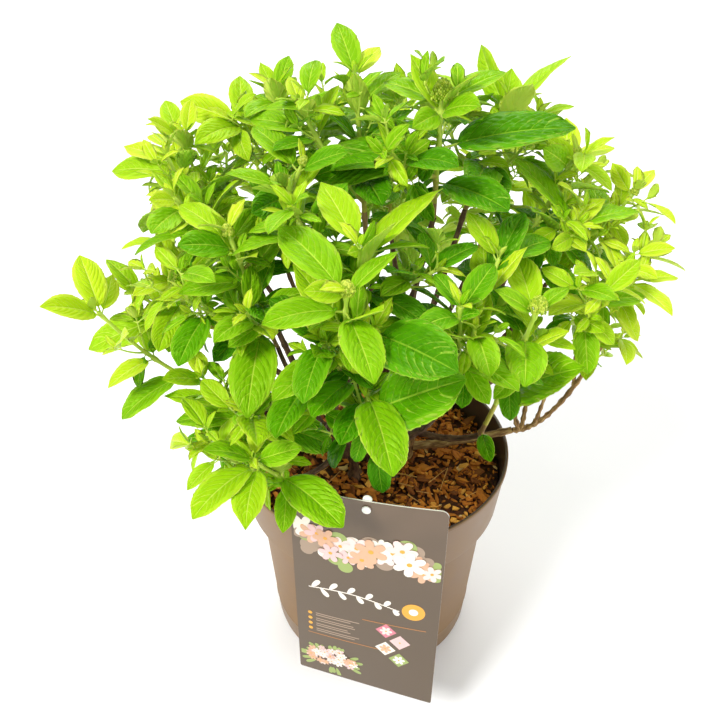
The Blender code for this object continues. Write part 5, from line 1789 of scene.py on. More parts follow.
@dataclass(frozen=True)
class StemTones:
    """Tones of a young shoot from its woody foot to its soft tip."""

    tones: tuple[GreenStem, ...] = (
        GreenStem("shoot, corky foot", "#9A7B4A", 0.62, subsurface=0.05),
        GreenStem("shoot, ripening", "#B9B447", 0.52, subsurface=0.12),
        GreenStem("shoot, soft green", "#C0D84C", 0.44, subsurface=0.2),
        GreenStem("shoot, tender tip", "#CDE65A", 0.42),
    )
    edges: Triple = (0.0, 0.14, 0.34, 0.8)

    def at(self, t: float, green: float) -> GreenStem:
        """The tone at share t of a shoot that is more or less green."""
        return self.tones[max(k for k, edge in enumerate(self.edges) if t + green >= edge)]


@dataclass(frozen=True)
class Twig:
    """A green shoot: round, swollen at its leaf nodes, in the tones of its age."""

    path: Path
    nodes: Triple
    green: float
    sides: int = 10
    step: float = 1.8 * MM
    node_swell: float = 0.38
    most_swell: float = 1.2
    node_reach: float = 1.7 * MM
    fullness: float = 0.95

    def lay(self, heap: Heap, tones: StemTones) -> None:
        """Add the shoot to a heap.

        Args:
            heap: The heap.
            tones: The tones along it.
        """
        span = self.path.span
        rings = max(4, ceil(span / self.step)) + 1
        points, grain, slots = [], [], []
        for t, centre, across, beside in self.path.frames(rings - 1):
            swell = sum(exp(-((t - n) * span / self.node_reach) ** 2) for n in self.nodes)
            reach = self.path.radius(t) * self.fullness * (1.0 + self.node_swell * min(swell, self.most_swell))
            points += ring(centre, across, beside, reach, self.sides)
            grain += [(reach * x, reach * y, t * span) for x, y in circle(self.sides)]
            slots += [heap.slot(tones.at(t, self.green))] * (self.sides if slots else 1)
        heap.add(points, tube_loops(rings, self.sides), [*slots, slots[-1]], grain)


@dataclass(frozen=True)
class Stalk:
    """A leaf stalk: slim, a little thicker at its foot, running on under the midrib."""

    leaf: Leaf
    sides: int = 6
    reach: float = 0.62 * MM
    usual_length: float = 50.0 * MM
    sink: float = 0.45
    stations: tuple[Triple, ...] = ((-1.0, 1.5), (-0.75, 1.1), (-0.35, 0.95), (0.0, 0.95), (0.10, 0.5))

    def lay(self, heap: Heap, finish: GreenStem) -> None:
        """Add the stalk to a heap.

        Args:
            heap: The heap.
            finish: Its finish.
        """
        size = self.reach * (self.leaf.length / self.usual_length) ** 0.6
        points = []
        for share, full in self.stations:
            centre, ahead, above = self.leaf.station(share)
            centre = centre - above * (self.sink * size if share > -1.0 else 0.0)
            points += ring(centre, ahead.cross(above), -above, size * full, self.sides)
        heap.add(points, tube_loops(len(self.stations), self.sides), finish)


@cache
def small_ball(rings: int = 4, sides: int = 7) -> tuple[np.ndarray, Loops]:
    """A unit ball of a few rings."""
    middle = [(sin(pi * k / rings), -cos(pi * k / rings)) for k in range(1, rings)]
    return lathe([(0.0, -1.0), *middle, (0.0, 1.0)], sides)


@dataclass(frozen=True)
class FlowerBud:
    """A panicle in tight bud: grains packed on a short cone at a shoot's tip."""

    shoot: Shoot
    path: Path
    grains: int = 210
    grain_size: float = 0.66 * MM
    core: float = 0.86
    core_seat: float = 0.55
    tallness: float = 1.75
    sunk: float = 0.2
    tones: tuple[GreenStem, ...] = (
        GreenStem("flower bud, pale grains", "#CBDC50"), GreenStem("flower bud, green grains", "#B5CC2E"),
        GreenStem("flower bud, shaded grains", "#93B21C"))

    def lay(self, heap: Heap, rng: Random) -> None:
        """Add the bud to a heap.

        Args:
            heap: The heap.
            rng: The source of chance.
        """
        ball, loops = small_ball()
        ahead = self.path.heading(1.0)
        across = ahead.orthogonal().normalized()
        beside = ahead.cross(across)
        radius = 0.5 * self.shoot.bud * MM
        middle = np.array(self.path.tip + ahead * (self.core_seat * radius))
        # The core takes the darkest grain tone as painted shade between the grains
        heap.add(ball * radius * self.core + middle, loops, self.tones[-1])
        for k in range(self.grains):
            height = (k + 0.5) / self.grains
            angle = k * pi * (3.0 - sqrt(5.0))
            out = radius * sqrt(1.0 - height ** 1.6) * rng.uniform(0.82, 1.08)
            centre = self.path.tip + ahead * (radius * (self.tallness * height - self.sunk))
            centre = centre + (across * cos(angle) + beside * sin(angle)) * out
            size = self.grain_size * rng.uniform(0.7, 1.25)
            stretch = np.array((1.0, 1.0, rng.uniform(1.0, 1.35)))
            heap.add(ball * stretch * size + np.array(centre), loops, rng.choice(self.tones))


WEATHERED = ShrubBark("bark, weathered tan", "#967340", 0.78, ridge="#CDAE72", fissure="#4A3118")


@dataclass(frozen=True)
class WoodyLimb:
    """A stem or bough under bark: ridged along its length, with a swollen ring at each old node."""

    path: Path
    seed: int
    sides: int = 20
    step: float = 1.6 * MM
    ridge: float = 0.11
    node_every: float = 21.0 * MM
    node_swell: float = 0.24
    node_reach: float = 1.8 * MM
    node_shift: float = 3.7 * MM
    ridges_round: float = 2.6
    ridge_length: float = 7.0 * MM
    sink: float = 1.2 * MM
    fullness: float = 1.0

    def lay(self, heap: Heap, finish: ShrubBark) -> None:
        """Add the limb to a heap.

        Args:
            heap: The heap.
            finish: Its bark.
        """
        span = self.path.span
        rings = max(6, ceil(span / self.step)) + 1
        points, grain = [], []
        for t, centre, across, beside in self.path.frames(rings - 1):
            away = (t * span + self.seed * self.node_shift) % self.node_every - 0.5 * self.node_every
            swell = 1.0 + self.node_swell * exp(-(away / self.node_reach) ** 2)
            if t == 0.0 and self.path.flare == 0.0:
                centre = centre - self.path.heading(0.0) * self.sink
            radius = self.path.radius(t)
            for x, y in circle(self.sides):
                place = Vector((self.ridges_round * x, self.ridges_round * y,
                                t * span / self.ridge_length + self.seed))
                rough = 1.0 + self.ridge * noise.fractal(place, 0.8, 2.0, 3)
                points.append(centre + (across * x + beside * y) * (radius * swell * rough * self.fullness))
                grain.append((*(radius * Vector((x, y))), t * span + 0.1 * self.seed))
        heap.add(points, tube_loops(rings, self.sides), finish, grain)


@dataclass(frozen=True)
class Framework:
    """The woody frame: one piece for each stem with the boughs that rise from it; limbs inside the crown get
    darker bark as painted shade.
    """

    # Darker copy of the bark for the limbs inside the crown: painted shade
    shaded: ShrubBark = ShrubBark("bark, shaded brown", "#5E422B", 0.82)
    bare: tuple[str, ...] = ("bough_bare", "stem_right")

    def build(self, growth: Growth) -> None:
        """Build every stem with its boughs.

        Args:
            growth: The grown shrub.
        """
        order = {limb.name: k for k, limb in enumerate(STEMS + BOUGHS)}
        for stem in STEMS:
            heap = Heap()
            names = [stem.name] + [limb.name for limb in BOUGHS if limb.parent == stem.name]
            for name in names:
                limb = WoodyLimb(growth.paths[name], order[name])
                limb.lay(heap, WEATHERED if name in self.bare else self.shaded)
            sharpen(heap.piece(stem.name + "_wood", "bark", *names), 60.0)


@dataclass(frozen=True)
class Foliage:
    """One mass of foliage: its shoots and stalks, its leaves and its flower buds."""

    sprays: Sprays
    habit: LeafHabit
    seed: int
    stems: StemTones = StemTones()
    woody: tuple[str, ...] = ("bare_twigs",)
    tender_age: float = 0.3
    crown_foot: float = 0.20
    crown_depth: float = 0.22
    crown_radius: float = 0.15
    tone_scatter: float = 0.9

    def build(self) -> None:
        """Build the mass as a piece for each kind."""
        rng = Random(self.seed)
        self.build_twigs()
        self.build_leaves(rng)
        self.build_buds(rng)

    def tone_of(self, leaf: Leaf, rng: Random) -> LeafTones:
        """Choose a leaf's tones: darker with age; darker low on its shoot and inside the crown as painted
        shade, paler out at its edge as painted light.

        Args:
            leaf: The leaf.
            rng: The source of chance.

        Returns:
            The tones.
        """
        low = 1.0 - min(1.0, max(0.0, (leaf.root.z - self.crown_foot) / self.crown_depth))
        edge = min(1.0, hypot(leaf.root.x, leaf.root.y) / self.crown_radius)
        # Age darkens the leaf's own green; the crown terms paint shade low and inside the crown and paint light
        # at its edge
        place = -0.1 + 3.4 * leaf.age + (1.0 - edge ** 2) * (1.2 + 2.1 * low) - 0.75 * edge ** 4
        place = int(place + rng.uniform(-self.tone_scatter, self.tone_scatter))
        return LEAF_TONES[max(0, min(len(LEAF_TONES) - 1, place))]

    def finish_piece(self, heap: Heap, kind: str) -> Object:
        """Make the mass's piece of one kind."""
        return heap.piece(f"{self.sprays.name}_{kind}", "foliage", self.sprays.name)

    def build_twigs(self) -> None:
        """Build the shoots, sprigs and leaf stalks."""
        heap = Heap()
        for k, (shoot, path) in enumerate(self.sprays.shoots):
            if self.sprays.name in self.woody:
                stub = WoodyLimb(path, self.seed + k, 12, 1.2 * MM, 0.26, 7.0 * MM, 0.4, fullness=0.7)
                stub.lay(heap, WEATHERED)
                continue
            pairs = tuple(self.habit.place(shoot, pair)[1] for pair in range(shoot.pairs))
            nodes = pairs + tuple(row[0] for row in shoot.placed)
            Twig(path, nodes, 0.0 if k == 0 else 0.2).lay(heap, self.stems)
        for path in self.sprays.sprigs:
            Twig(path, (), 0.6, 6, 2.5 * MM).lay(heap, self.stems)
        for leaf in self.sprays.leaves:
            Stalk(leaf).lay(heap, self.stems.tones[2 if leaf.age > self.tender_age else 3])
        sharpen(self.finish_piece(heap, "twigs"), 60.0)

    def build_leaves(self, rng: Random) -> None:
        """Build the blades of the mass.

        Args:
            rng: The source of chance.
        """
        heap = Heap()
        for leaf in self.sprays.leaves:
            pattern = next(blade for limit, blade in BLADES if leaf.length > limit)
            skins = np.array([heap.slot(skin) for skin in self.tone_of(leaf, rng).skins])
            loops, zones = pattern.layout
            points, grain = pattern.grow(leaf, rng)
            heap.add(points, loops, skins[zones], grain)
        if heap.count:
            self.finish_piece(heap, "leaves")

    def build_buds(self, rng: Random) -> None:
        """Build the flower buds at the strongest tips.

        Args:
            rng: The source of chance.
        """
        heap = Heap()
        for shoot, path in self.sprays.shoots:
            if shoot.bud > 0.0:
                FlowerBud(shoot, path).lay(heap, rng)
        if heap.count:
            self.finish_piece(heap, "buds")


# ---- pot and mulch


@dataclass(frozen=True)
class NurseryPot:
    """The pot: a thermoformed body under a stepped collar, with a rolled lip and drain holes."""

    rim: float = POT_RADIUS
    height: float = 1.75 * POT_RADIUS
    collar_height: float = 40.0 * MM
    collar_foot: float = 0.955 * POT_RADIUS
    body_top: float = 0.876 * POT_RADIUS
    body_foot: float = 0.80 * POT_RADIUS
    foot_rounding: float = 7.0 * MM
    wall: float = 1.6 * MM
    floor: float = 2.2 * MM
    lip_width: float = 2.4 * MM
    lip_height: float = 3.6 * MM
    lip_rounding: float = 0.8 * MM
    mould_line: float = 24.0 * MM
    sides: int = 180
    holes: int = 6
    hole_radius: float = 4.5 * MM
    hole_sides: int = 24
    hole_circle: float = 0.62
    skin: MouldedPolypropylene = MouldedPolypropylene("polypropylene, taupe outside", "#795A37")
    lining: MouldedPolypropylene = MouldedPolypropylene(
        "polypropylene, dark lining", "#4A382B", 0.38, mottle="#5B483A", dust="#4A382B")

    def build(self) -> None:
        """Turn the pot, drill its holes and dress it."""
        shelf, step = self.height - self.collar_height, self.height - self.collar_height + self.wall
        taper = (self.body_top - self.body_foot) / (shelf - self.foot_rounding)
        line = self.body_foot + taper * (self.mould_line - self.foot_rounding)
        lip = self.height - self.lip_height
        outer = rounded((
            (0.0, 0.0, 0.0), (self.body_foot - 0.6 * MM, 0.0, self.foot_rounding),
            (line, self.mould_line - 0.5 * MM, 0.0), (line + 0.35 * MM, self.mould_line, 0.0),
            (line + 0.05 * MM, self.mould_line + 0.6 * MM, 0.0),
            (self.body_top, shelf, 0.0), (self.collar_foot, shelf, 1.2 * MM),
            (self.rim - self.lip_rounding, lip, 0.4 * MM), (self.rim, lip + self.lip_rounding, 0.4 * MM),
            (self.rim, self.height, self.lip_rounding),
            (self.rim - self.lip_width, self.height, self.lip_rounding),
            (self.collar_foot - self.wall, step, 0.6 * MM), (self.body_top - self.wall, step, 0.6 * MM),
            (self.body_foot - self.wall, self.floor + self.foot_rounding, 2.0 * MM),
            (self.body_foot - self.foot_rounding, self.floor, 2.0 * MM), (0.0, self.floor, 0.0)))
        heap = Heap()
        outside, inside = heap.slot(self.skin), heap.slot(self.lining)
        heap.add(*lathe(outer, self.sides), self.skin)
        pot = heap.piece("nursery_pot", "pot_plastic", "pot")
        self.drill(pot)
        slots = []
        for face in pot.data.polygons:
            out = hypot(face.center.x, face.center.y)
            within = face.center.z > self.floor - 0.1 * MM and out < self.rim - 0.4 * self.lip_width
            inward = face.normal.x * face.center.x + face.normal.y * face.center.y < 0.3 * out
            slots.append(inside if within and inward and face.normal.z > -0.5 else outside)
        pot.data.polygons.foreach_set("material_index", slots)
        sharpen(pot, 40.0)

    def drill(self, pot: Object) -> None:
        """Cut the drain holes.

        Args:
            pot: The pot.
        """
        heap = Heap()
        points, loops = lathe([(0.0, -self.floor), (self.hole_radius, -self.floor),
                               (self.hole_radius, 2.0 * self.floor), (0.0, 2.0 * self.floor)], self.hole_sides)
        for k in range(self.holes):
            angle = tau * (k + 0.5) / self.holes
            middle = np.array((cos(angle), sin(angle), 0.0)) * (self.hole_circle * self.body_foot)
            heap.add(points + middle, loops, [0])
        cut(pot, heap.tool("drain_drill"))


@dataclass(frozen=True)
class BarkMulch:
    """The top of the potting mix: crumbly peat under a layer of bark chips and a few straws."""

    radius: float = POT_RADIUS - 5.4 * MM
    foot_radius: float = 0.80 * POT_RADIUS - 2.4 * MM
    floor: float = 2.6 * MM
    rings: int = 26
    sides: int = 96
    crumb: float = 6.0 * MM
    crumb_height: float = 1.6 * MM
    chips: int = 2600
    chip_length: Triple = (3.0, 14.0)
    straws: int = 34
    seed: int = 4100
    peat: FibrousPeat = FibrousPeat("peat, fibrous", "#311A08", 0.95)
    tones: tuple[PineBark, ...] = (
        PineBark("pine bark, dark", "#82460C", 0.86), PineBark("pine bark, brown", "#BD6F1A", 0.84),
        PineBark("pine bark, red brown", "#D28023", 0.82), PineBark("pine bark, tan", "#EFAA45", 0.8),
        PineBark("pine bark, pale heart", "#F8CE88", 0.78))
    shares: Triple = (0.27, 0.34, 0.24, 0.12, 0.03)
    straw: PineBark = PineBark("straw, split", "#D49E55", 0.7)

    def build(self) -> None:
        """Build the peat, the chips and the straws."""
        self.build_peat()
        rng = Random(self.seed)
        heap = Heap()
        for _ in range(self.chips):
            self.lay_chip(heap, rng)
        sharpen(heap.piece("bark_chips", "potting_bark", "root_ball"), 30.0)
        heap = Heap()
        for _ in range(self.straws):
            self.lay_straw(heap, rng)
        heap.piece("straw_slivers", "potting_bark", "root_ball")

    def build_peat(self) -> None:
        """Build the mix that fills the pot, with a crumbly top."""
        profile = [(0.0, self.floor), (self.foot_radius - 5.0 * MM, self.floor), (self.foot_radius, 10.0 * MM),
                   (0.876 * POT_RADIUS - 2.4 * MM, 128.0 * MM), (self.radius - 2.4 * MM, 128.5 * MM)]
        top = SOIL_LEVEL - 1.4 * MM
        profile += [(self.radius * (1.0 - k / self.rings), top) for k in range(self.rings + 1)]
        points, loops = lathe(profile, self.sides)
        for point in points:
            if point[2] == top:
                point[2] += self.crumb_height * noise.fractal(Vector(point) / self.crumb, 0.9, 2.0, 4)
        heap = Heap()
        heap.add(points, loops, self.peat)
        heap.piece("potting_mix", "potting_bark", "root_ball")

    def lay_chip(self, heap: Heap, rng: Random) -> None:
        """Add one flake of bark, broken across its ends and thinner at its edges.

        Args:
            heap: The heap.
            rng: The source of chance.
        """
        least, most = self.chip_length
        long = (least + (most - least) * rng.random() ** 2.4) * MM
        wide, thick = long * rng.uniform(0.25, 0.7), rng.uniform(0.8, 1.9) * MM
        angle, out = rng.uniform(0.0, tau), (self.radius - 0.42 * long) * sqrt(rng.random())
        sides = rng.choice((4, 5, 6))
        start = rng.uniform(0.0, tau)
        shape = [rng.uniform(0.55, 1.25) for _ in range(sides)]
        points = []
        for level, share in ((-0.5, 0.8), (-0.1, 1.0), (0.5, rng.uniform(0.6, 0.9))):
            for side in range(sides):
                turn = start + tau * (side + rng.uniform(-0.12, 0.12)) / sides
                reach = 0.5 * shape[side] * share
                points.append(Vector((long * cos(turn) * reach, wide * sin(turn) * reach,
                                      thick * (level + rng.uniform(-0.14, 0.14)))))
        tilt = Matrix.Rotation(rng.uniform(0.0, tau), 4, "Z") @ Matrix.Rotation(rng.gauss(0.0, 0.34), 4, "X")
        tilt = tilt @ Matrix.Rotation(rng.gauss(0.0, 0.26), 4, "Y")
        height = SOIL_LEVEL + rng.uniform(-0.5, 3.4) * MM
        place = Matrix.Translation((out * cos(angle), out * sin(angle), height)) @ tilt
        grain = np.array([(p.x * 0.2, p.y, p.z) for p in points]) + rng.random()
        tone = rng.choices(self.tones, self.shares)[0]
        heap.add([place @ p for p in points], tube_loops(3, sides), tone, grain)

    def lay_straw(self, heap: Heap, rng: Random) -> None:
        """Add one thin splinter lying on the chips.

        Args:
            heap: The heap.
            rng: The source of chance.
        """
        long, reach = rng.uniform(10.0, 26.0) * MM, rng.uniform(0.35, 0.7) * MM
        angle = rng.uniform(0.0, tau)
        out = (self.radius - 0.55 * long) * sqrt(rng.random())
        middle = Vector((out * cos(angle), out * sin(angle), SOIL_LEVEL + rng.uniform(2.6, 5.0) * MM))
        turn = rng.uniform(0.0, tau)
        ahead = Vector((cos(turn), sin(turn), rng.uniform(-0.18, 0.18))).normalized()
        foot, tip = middle - ahead * 0.5 * long, middle + ahead * 0.5 * long
        path = Path(foot, bowed(foot, tip, rng.uniform(-0.03, 0.05)), tip, reach, reach * 0.5)
        heap.add(*path.tube(5, 6), self.straw)


# ---- plant label


@dataclass(frozen=True)
class LabelCard:
    """The hanging card: rounded, bowed outwards across its width, printed on its face."""

    width: float = 95.0 * MM
    height: float = 177.0 * MM
    thickness: float = 0.8 * MM
    corner: float = 5.0 * MM
    foot_corner: float = 1.5 * MM
    bow: float = 2.5 * MM
    curl: float = 9.0 * MM
    top: Triple = (-5.6, -102.6, 211.8)
    yaw: float = radians(-12.7)
    lean: float = radians(0.7)
    hole_radius: float = 2.3 * MM
    hole_drop: float = 6.0 * MM
    hole_sides: int = 32
    columns: int = 40
    corner_steps: int = 8
    rows: int = 12
    face: PrintedCard = PrintedCard("polypropylene card, printed taupe", "#5D4D3B")
    edge: InjectedPolypropylene = InjectedPolypropylene("polypropylene card, cut edge", "#E9E4DA", 0.45)

    def frame_at(self, drop: float, out: float = 0.0) -> Matrix:
        """A frame on the card's middle line: X to its right, Y up it, Z out of its face."""
        turn = Matrix.Rotation(self.yaw, 4, "Z")
        upright = Matrix.Rotation(0.5 * pi - self.lean, 4, "X")
        place = Matrix.Translation(Vector(self.top) * MM)
        return place @ turn @ upright @ Matrix.Translation((0.0, -drop, out))

    def stand(self, x: float, y: float) -> float:
        """How far out the face stands: bowed across the card, and curled out at its right foot."""
        curled = self.curl * (y / self.height * (0.5 + x / self.width)) ** 2
        return curled - self.bow * (2.0 * x / self.width) ** 2

    def cut_off(self, x: float, radius: float) -> float:
        """How much a corner of some radius takes off the card's height at a place across it."""
        short = min(radius, max(0.0, radius - 0.5 * self.width + abs(x)))
        return radius - sqrt(radius ** 2 - short ** 2)

    def build(self) -> None:
        """Build the card, cut its hole and print it."""
        half = 0.5 * self.width
        inner = half - self.corner
        edge = [-half + self.corner * (1.0 - cos(0.5 * pi * k / self.corner_steps))
                for k in range(self.corner_steps + 1)]
        middle = [-inner + 2.0 * inner * k / self.columns for k in range(1, self.columns)]
        stations = edge + middle + mirrored(edge)
        place = self.frame_at(0.0)
        points = []
        for x in stations:
            top, foot = -self.cut_off(x, self.corner), self.cut_off(x, self.foot_corner) - self.height
            downs = [top + (foot - top) * k / self.rows for k in range(self.rows + 1)]
            front = [(x, y, self.stand(x, y)) for y in downs]
            points += [place @ Vector(p) for p in front]
            points += [place @ Vector((x, y, z - self.thickness)) for x, y, z in reversed(front)]
        sides = 2 * (self.rows + 1)
        heap = Heap()
        face, rim = heap.slot(self.face), heap.slot(self.edge)
        band = [rim if side in (self.rows, sides - 1) else face for side in range(sides)]
        heap.add(points, tube_loops(len(stations), sides), [rim, *band * (len(stations) - 1), rim])
        card = heap.piece("plant_label_card", "label_card", "plant_label")
        shape, loops = lathe([(0.0, -0.5), (1.0, -0.5), (1.0, 0.5), (0.0, 0.5)], self.hole_sides)
        shape = shape * np.array((self.hole_radius, self.hole_radius, 20.0 * self.thickness))
        drill = Heap()
        drill.add([self.frame_at(self.hole_drop) @ Vector(p) for p in shape], loops, [0])
        cut(card, drill.tool("card_drill"))
        sharpen(card, 40.0)
        CardPrint(self).build()


class Inks(Enum):
    """The print's colours."""

    CREAM = "#F7EEDF"
    SHELL_PINK = "#F3DAD2"
    BLUSH = "#EBC4C0"
    PEACH = "#DFB08E"
    ROSE = "#D9808E"
    OCHRE = "#E9A83C"
    COPPER = "#B5793F"
    SAGE_GREEN = "#9DAE62"
    HAZE = "#A68F7A"

    @property
    def finish(self) -> Ink:
        """The colour as an ink."""
        return Ink("offset ink, " + self.name.lower().replace("_", " "), self.value)


@dataclass
class CardPrint:
    """The print: a drift of blossoms, a leafy sprig, rules, diamonds and plain bars in ink.
    Places and lengths are in millimetres from the middle of the card's top edge."""

    card: LabelCard
    seed: int = 77
    lift: float = 0.05 * MM
    layer: float = 0.03 * MM
    petals: tuple[Inks, ...] = (Inks.CREAM, Inks.SHELL_PINK, Inks.BLUSH, Inks.PEACH)
    petal_steps: int = 14
    disc_steps: int = 24
    heap: Heap = field(default_factory=Heap)

    def build(self) -> None:
        """Lay every motif and make the piece."""
        rng = Random(self.seed)
        self.drift(rng)
        self.sprig()
        self.rules()
        self.diamonds()
        self.bars()
        self.mound(rng)
        self.heap.piece("plant_label_print", "label_card", "plant_label")

    def patch(self, outline: Sequence[tuple[float, float]], ink: Inks, level: int) -> None:
        """Lay a flat patch of ink, kept inside the card.

        Args:
            outline: Its corners.
            ink: Its ink.
            level: Its layer, counted from the card.
        """
        place, card, count = self.card.frame_at(0.0), self.card, len(outline)
        middle = (sum(x for x, _ in outline) / count, sum(y for _, y in outline) / count)
        points = []
        for x, y in [middle, *outline]:
            x = max(-0.485 * card.width, min(0.485 * card.width, x * MM))
            y = max(-0.99 * card.height, min(-0.01 * card.height, y * MM))
            points.append(place @ Vector((x, y, card.stand(x, y) + self.lift + level * self.layer)))
        self.heap.add(points, tuple((0, 1 + k, 1 + (k + 1) % count) for k in range(count)), ink.finish)

    def petal_at(self, x: float, y: float, turn: float, long: float, wide: float, ink: Inks,
                 level: int) -> None:
        """Lay one petal or leaf, pointed at its foot and rounded at its end.

        Args:
            x: How far right its foot is.
            y: How far up its foot is.
            turn: Which way it points, in radians.
            long: Its length.
            wide: Its width.
            ink: Its ink.
            level: Its layer.
        """
        outline = []
        for share, side in circle(self.petal_steps):
            along = 0.5 * long * (1.0 - share)
            across = 0.5 * wide * side * (0.55 + 0.55 * along / long)
            outline.append((x + along * cos(turn) - across * sin(turn),
                            y + along * sin(turn) + across * cos(turn)))
        self.patch(outline, ink, level)

    def blossom(self, x: float, y: float, size: float, ink: Inks, level: int, turn: float) -> None:
        """Lay a rosette of six petals round a small eye."""
        for k in range(6):
            self.petal_at(x, y, turn + tau * k / 6, size, 0.62 * size, ink, level + k % 2)
        self.disc(x, y, 0.16 * size, Inks.OCHRE, level + 3)

    def disc(self, x: float, y: float, reach: float, ink: Inks, level: int) -> None:
        """Lay a round spot."""
        self.patch([(x + reach * right, y + reach * up) for right, up in circle(self.disc_steps)], ink, level)

    def bar(self, x: float, y: float, long: float, wide: float, ink: Inks) -> None:
        """Lay a straight bar in short runs, which follow the card's bow."""
        runs_made = max(1, ceil(long / 5.0))
        for k in range(runs_made):
            left, right = x + long * k / runs_made, x + long * (k + 1) / runs_made
            self.patch([(left, y - wide), (right, y - wide), (right, y), (left, y)], ink, 1)

    def drift(self, rng: Random) -> None:
        """A drift of blossoms on a haze, from the card's upper left down to its right."""
        for k in range(60):
            x = -44.0 + 88.0 * rng.random()
            y = -36.0 - 0.16 * (x + 44.0) + 5.0 * sin(x / 11.0) + rng.gauss(0.0, 5.5)
            reach = rng.uniform(3.0, 6.5)
            self.disc(x, y, reach, rng.choice((Inks.HAZE, Inks.HAZE, Inks.CREAM, Inks.SAGE_GREEN)), k % 4)
        for k in range(18):
            x = -40.0 + 80.0 * (k + rng.uniform(-0.3, 0.3)) / 17.0
            y = -35.0 - 0.20 * (x + 42.0) + 6.0 * sin(x / 11.0) + rng.uniform(-6.0, 6.0)
            self.blossom(x, y, rng.uniform(6.4, 11.0), rng.choice(self.petals), 5 + 4 * (k % 5),
                         rng.uniform(0.0, tau))

    def sprig(self) -> None:
        """A sprig of pale leaves along a curved stem, with an ochre spot at its end."""
        for k in range(30):
            x, y = -38.0 + 2.0 * k, -86.0 + 4.0 * sin(k / 9.0) - 0.18 * k
            self.patch([(x, y), (x + 2.0, y - 0.1), (x + 2.0, y - 1.0), (x, y - 0.9)], Inks.CREAM, 2)
            if k % 3 == 1:
                side = 1.0 if k % 2 else -1.0
                self.petal_at(x, y - 0.5, side * 0.95, 9.5 - 0.12 * k, 4.4, Inks.CREAM, 2)
        self.disc(31.0, -91.0, 7.5, Inks.OCHRE, 2)
        self.disc(31.0, -91.0, 3.0, Inks.CREAM, 3)

    def rules(self) -> None:
        """Two thin copper rules."""
        self.bar(-2.0, -107.0, 42.0, 0.7, Inks.COPPER)
        self.bar(-40.0, -134.0, 52.0, 0.7, Inks.COPPER)

    def diamonds(self) -> None:
        """Four diamonds down the right, each with a blossom."""
        for k, ink in enumerate((Inks.ROSE, Inks.BLUSH, Inks.CREAM, Inks.SAGE_GREEN)):
            x, y = 14.0 + 9.5 * (k % 2), -114.0 - 9.0 * k
            self.patch([(x, y + 7.0), (x + 7.0, y), (x, y - 7.0), (x - 7.0, y)], ink, 2)
            self.blossom(x, y, 4.2, self.petals[(k + 1) % 4], 4, 0.4 * k)

    def bars(self) -> None:
        """Plain pale bars at the left, each pair led by an ochre spot."""
        for k in range(4):
            y = -112.0 - 5.4 * k
            self.disc(-38.0, y - 1.2, 1.5, Inks.OCHRE, 2)
            self.bar(-34.0, y, 30.0 - 4.0 * (k % 3), 0.9, Inks.HAZE)
            self.bar(-34.0, y - 2.0, 24.0 + 3.0 * (k % 2), 0.9, Inks.HAZE)

    def mound(self, rng: Random) -> None:
        """A mound of small blossoms over leaves at the card's lower left."""
        for k in range(26):
            angle = rng.uniform(0.0, tau)
            self.petal_at(-24.0 + 14.0 * cos(angle), -160.0 + 8.0 * sin(angle), angle,
                          rng.uniform(6.0, 10.0), 3.6, Inks.SAGE_GREEN, k % 3)
        for k in range(46):
            angle, out = rng.uniform(0.0, tau), sqrt(rng.random())
            self.blossom(-24.0 + 17.0 * out * cos(angle), -157.0 + 9.0 * out * sin(angle),
                         rng.uniform(2.4, 4.2), rng.choice(self.petals), 4 + 4 * (k % 4), rng.uniform(0.0, 1.0))


@dataclass(frozen=True)
class LabelStake:
    """The stake: a ribbed strip out of the soil, a round head behind the card and a button."""

    card: LabelCard
    foot: Triple = (-2.0, -75.0, 0.0)
    width: float = 5.0 * MM
    thickness: float = 1.6 * MM
    chamfer: float = 0.3 * MM
    rib: float = 0.6 * MM
    rib_height: float = 0.35 * MM
    head_radius: float = 2.8 * MM
    head_rise: float = 2.8 * MM
    pin_radius: float = 1.7 * MM
    button_radius: float = 2.7 * MM
    button_thickness: float = 1.2 * MM
    disc_sides: int = 40
    skin: InjectedPolypropylene = InjectedPolypropylene(
        "polypropylene, white moulded", "#F4F4EE", subsurface=0.1)

    def build(self) -> None:
        """Build the strip, the head, the pin and the button."""
        heap = Heap()
        card = self.card
        back = -card.thickness - GAP - 0.5 * self.thickness
        foot = Vector(self.foot) * MM + UP * (SOIL_LEVEL + GAP)
        head = card.frame_at(card.hole_drop, back).translation
        side = (card.frame_at(0.0).to_3x3() @ Vector((1.0, 0.0, 0.0))).normalized()
        face = side.cross((head - foot).normalized())
        half, deep = 0.5 * self.width, 0.5 * self.thickness
        near, low = half - self.chamfer, deep - self.chamfer
        section = ((-near, -deep), (near, -deep), (half, -low), (half, low), (near, deep), (self.rib, deep),
                   (0.0, deep + self.rib_height), (-self.rib, deep), (-near, deep), (-half, low), (-half, -low))
        places = (foot, foot.lerp(head, 0.5), head)
        points = [place + side * x + face * y for place in places for x, y in section]
        heap.add(points, tube_loops(3, len(section)), self.skin)
        front = GAP + 0.5 * self.button_thickness
        for reach, thick, drop, out in (
                (self.head_radius, self.thickness, self.head_radius - self.head_rise, back),
                (self.pin_radius, front - back, card.hole_drop, 0.5 * (front + back)),
                (self.button_radius, self.button_thickness, card.hole_drop, front)):
            edge = 0.3 * thick
            disc, loops = lathe(rounded(((0.0, -0.5 * thick, 0.0), (reach, -0.5 * thick, edge),
                                         (reach, 0.5 * thick, edge), (0.0, 0.5 * thick, 0.0))), self.disc_sides)
            place = card.frame_at(drop, out)
            heap.add([place @ Vector(p) for p in disc], loops, self.skin)
        sharpen(heap.piece("plant_label_stake", "stake_plastic", "label_stake"), 35.0)


# ---- studio


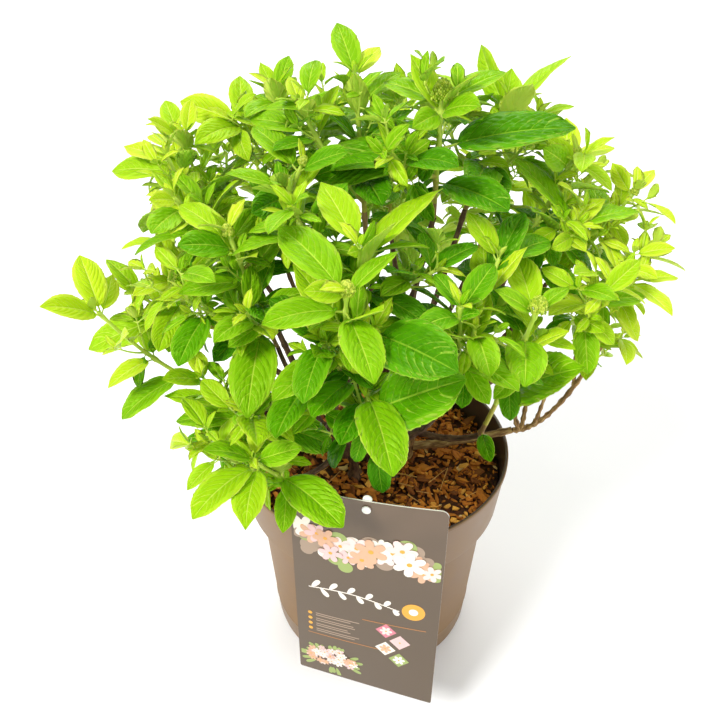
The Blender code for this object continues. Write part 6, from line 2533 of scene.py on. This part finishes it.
@dataclass(frozen=True)
class Studio:
    """A white floor, a bright white surround, soft lamps and the camera."""

    floor_half: float = 4.0
    floor_drop: float = 0.2 * MM
    surround: float = 0.52
    paint: FloorPaint = FloorPaint("studio paint, matt white", "#FFFFFF", 0.9)
    camera_place: Triple = (-0.0095, -0.4247, 0.5482)
    camera_tilt: float = radians(53.8)
    lens: float = 40.0
    sensor: float = 36.0
    nearest: float = 0.01
    suns: tuple[tuple[Triple, float, float], ...] = (
        ((-0.75, -0.65, 1.25), 18.0, 2.5), ((0.95, -0.35, 1.05), 60.0, 0.9), ((0.1, 0.7, 1.25), 40.0, 1.2))
    aim: Triple = (0.0, 0.0, 0.26)

    def build(self) -> None:
        """Set the floor, the surround, the lamps and the camera."""
        heap, half = Heap(), self.floor_half
        corners = ((-half, -half), (half, -half), (half, half), (-half, half))
        heap.add([(x, y, -self.floor_drop) for x, y in corners], ((0, 1, 2, 3),), self.paint)
        heap.tool("studio_floor")
        scene = bpy.context.scene
        scene.world = bpy.data.worlds.new("studio_surround")
        scene.world.use_nodes = True
        background = scene.world.node_tree.nodes["Background"]
        background.inputs["Color"].default_value = linear("#FFFFFF")
        background.inputs["Strength"].default_value = self.surround
        scene.view_settings.view_transform = "Standard"
        for k, (place, spread, power) in enumerate(self.suns):
            lamp = bpy.data.lights.new(f"lamp_{k}", "SUN")
            lamp.angle, lamp.energy = radians(spread), power
            aim = (Vector(self.aim) - Vector(place)).to_track_quat("-Z", "Y").to_euler()
            self.stand_up(bpy.data.objects.new(f"lamp_{k}", lamp), place, aim)
        camera = bpy.data.cameras.new("camera")
        camera.lens, camera.sensor_width, camera.clip_start = self.lens, self.sensor, self.nearest
        scene.camera = bpy.data.objects.new("camera", camera)
        self.stand_up(scene.camera, self.camera_place, (self.camera_tilt, 0.0, 0.0))

    @staticmethod
    def stand_up(obj: Object, place: Triple, turn: Sequence[float]) -> None:
        """Stand a lamp or the camera at a place, turned by three angles."""
        obj.location, obj.rotation_euler = place, turn
        bpy.context.scene.collection.objects.link(obj)


# ---- the whole


def write_sizes() -> None:
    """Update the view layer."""
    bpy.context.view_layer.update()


def main() -> None:
    """Build the pot and what it holds, the label, the wood and the foliage, then the studio."""
    logging.basicConfig(level=logging.INFO, format="%(message)s", stream=sys.stdout, force=True)
    NurseryPot().build()
    BarkMulch().build()
    card = LabelCard()
    card.build()
    LabelStake(card).build()
    growth = Growth()
    growth.grow()
    LOG.info("leaves: %d", sum(len(sprays.leaves) for sprays in growth.sprays))
    Framework().build(growth)
    for k, sprays in enumerate(growth.sprays):
        Foliage(sprays, growth.habit, 500 + k).build()
    Studio().build()
    write_sizes()


if __name__ == "__main__":
    main()
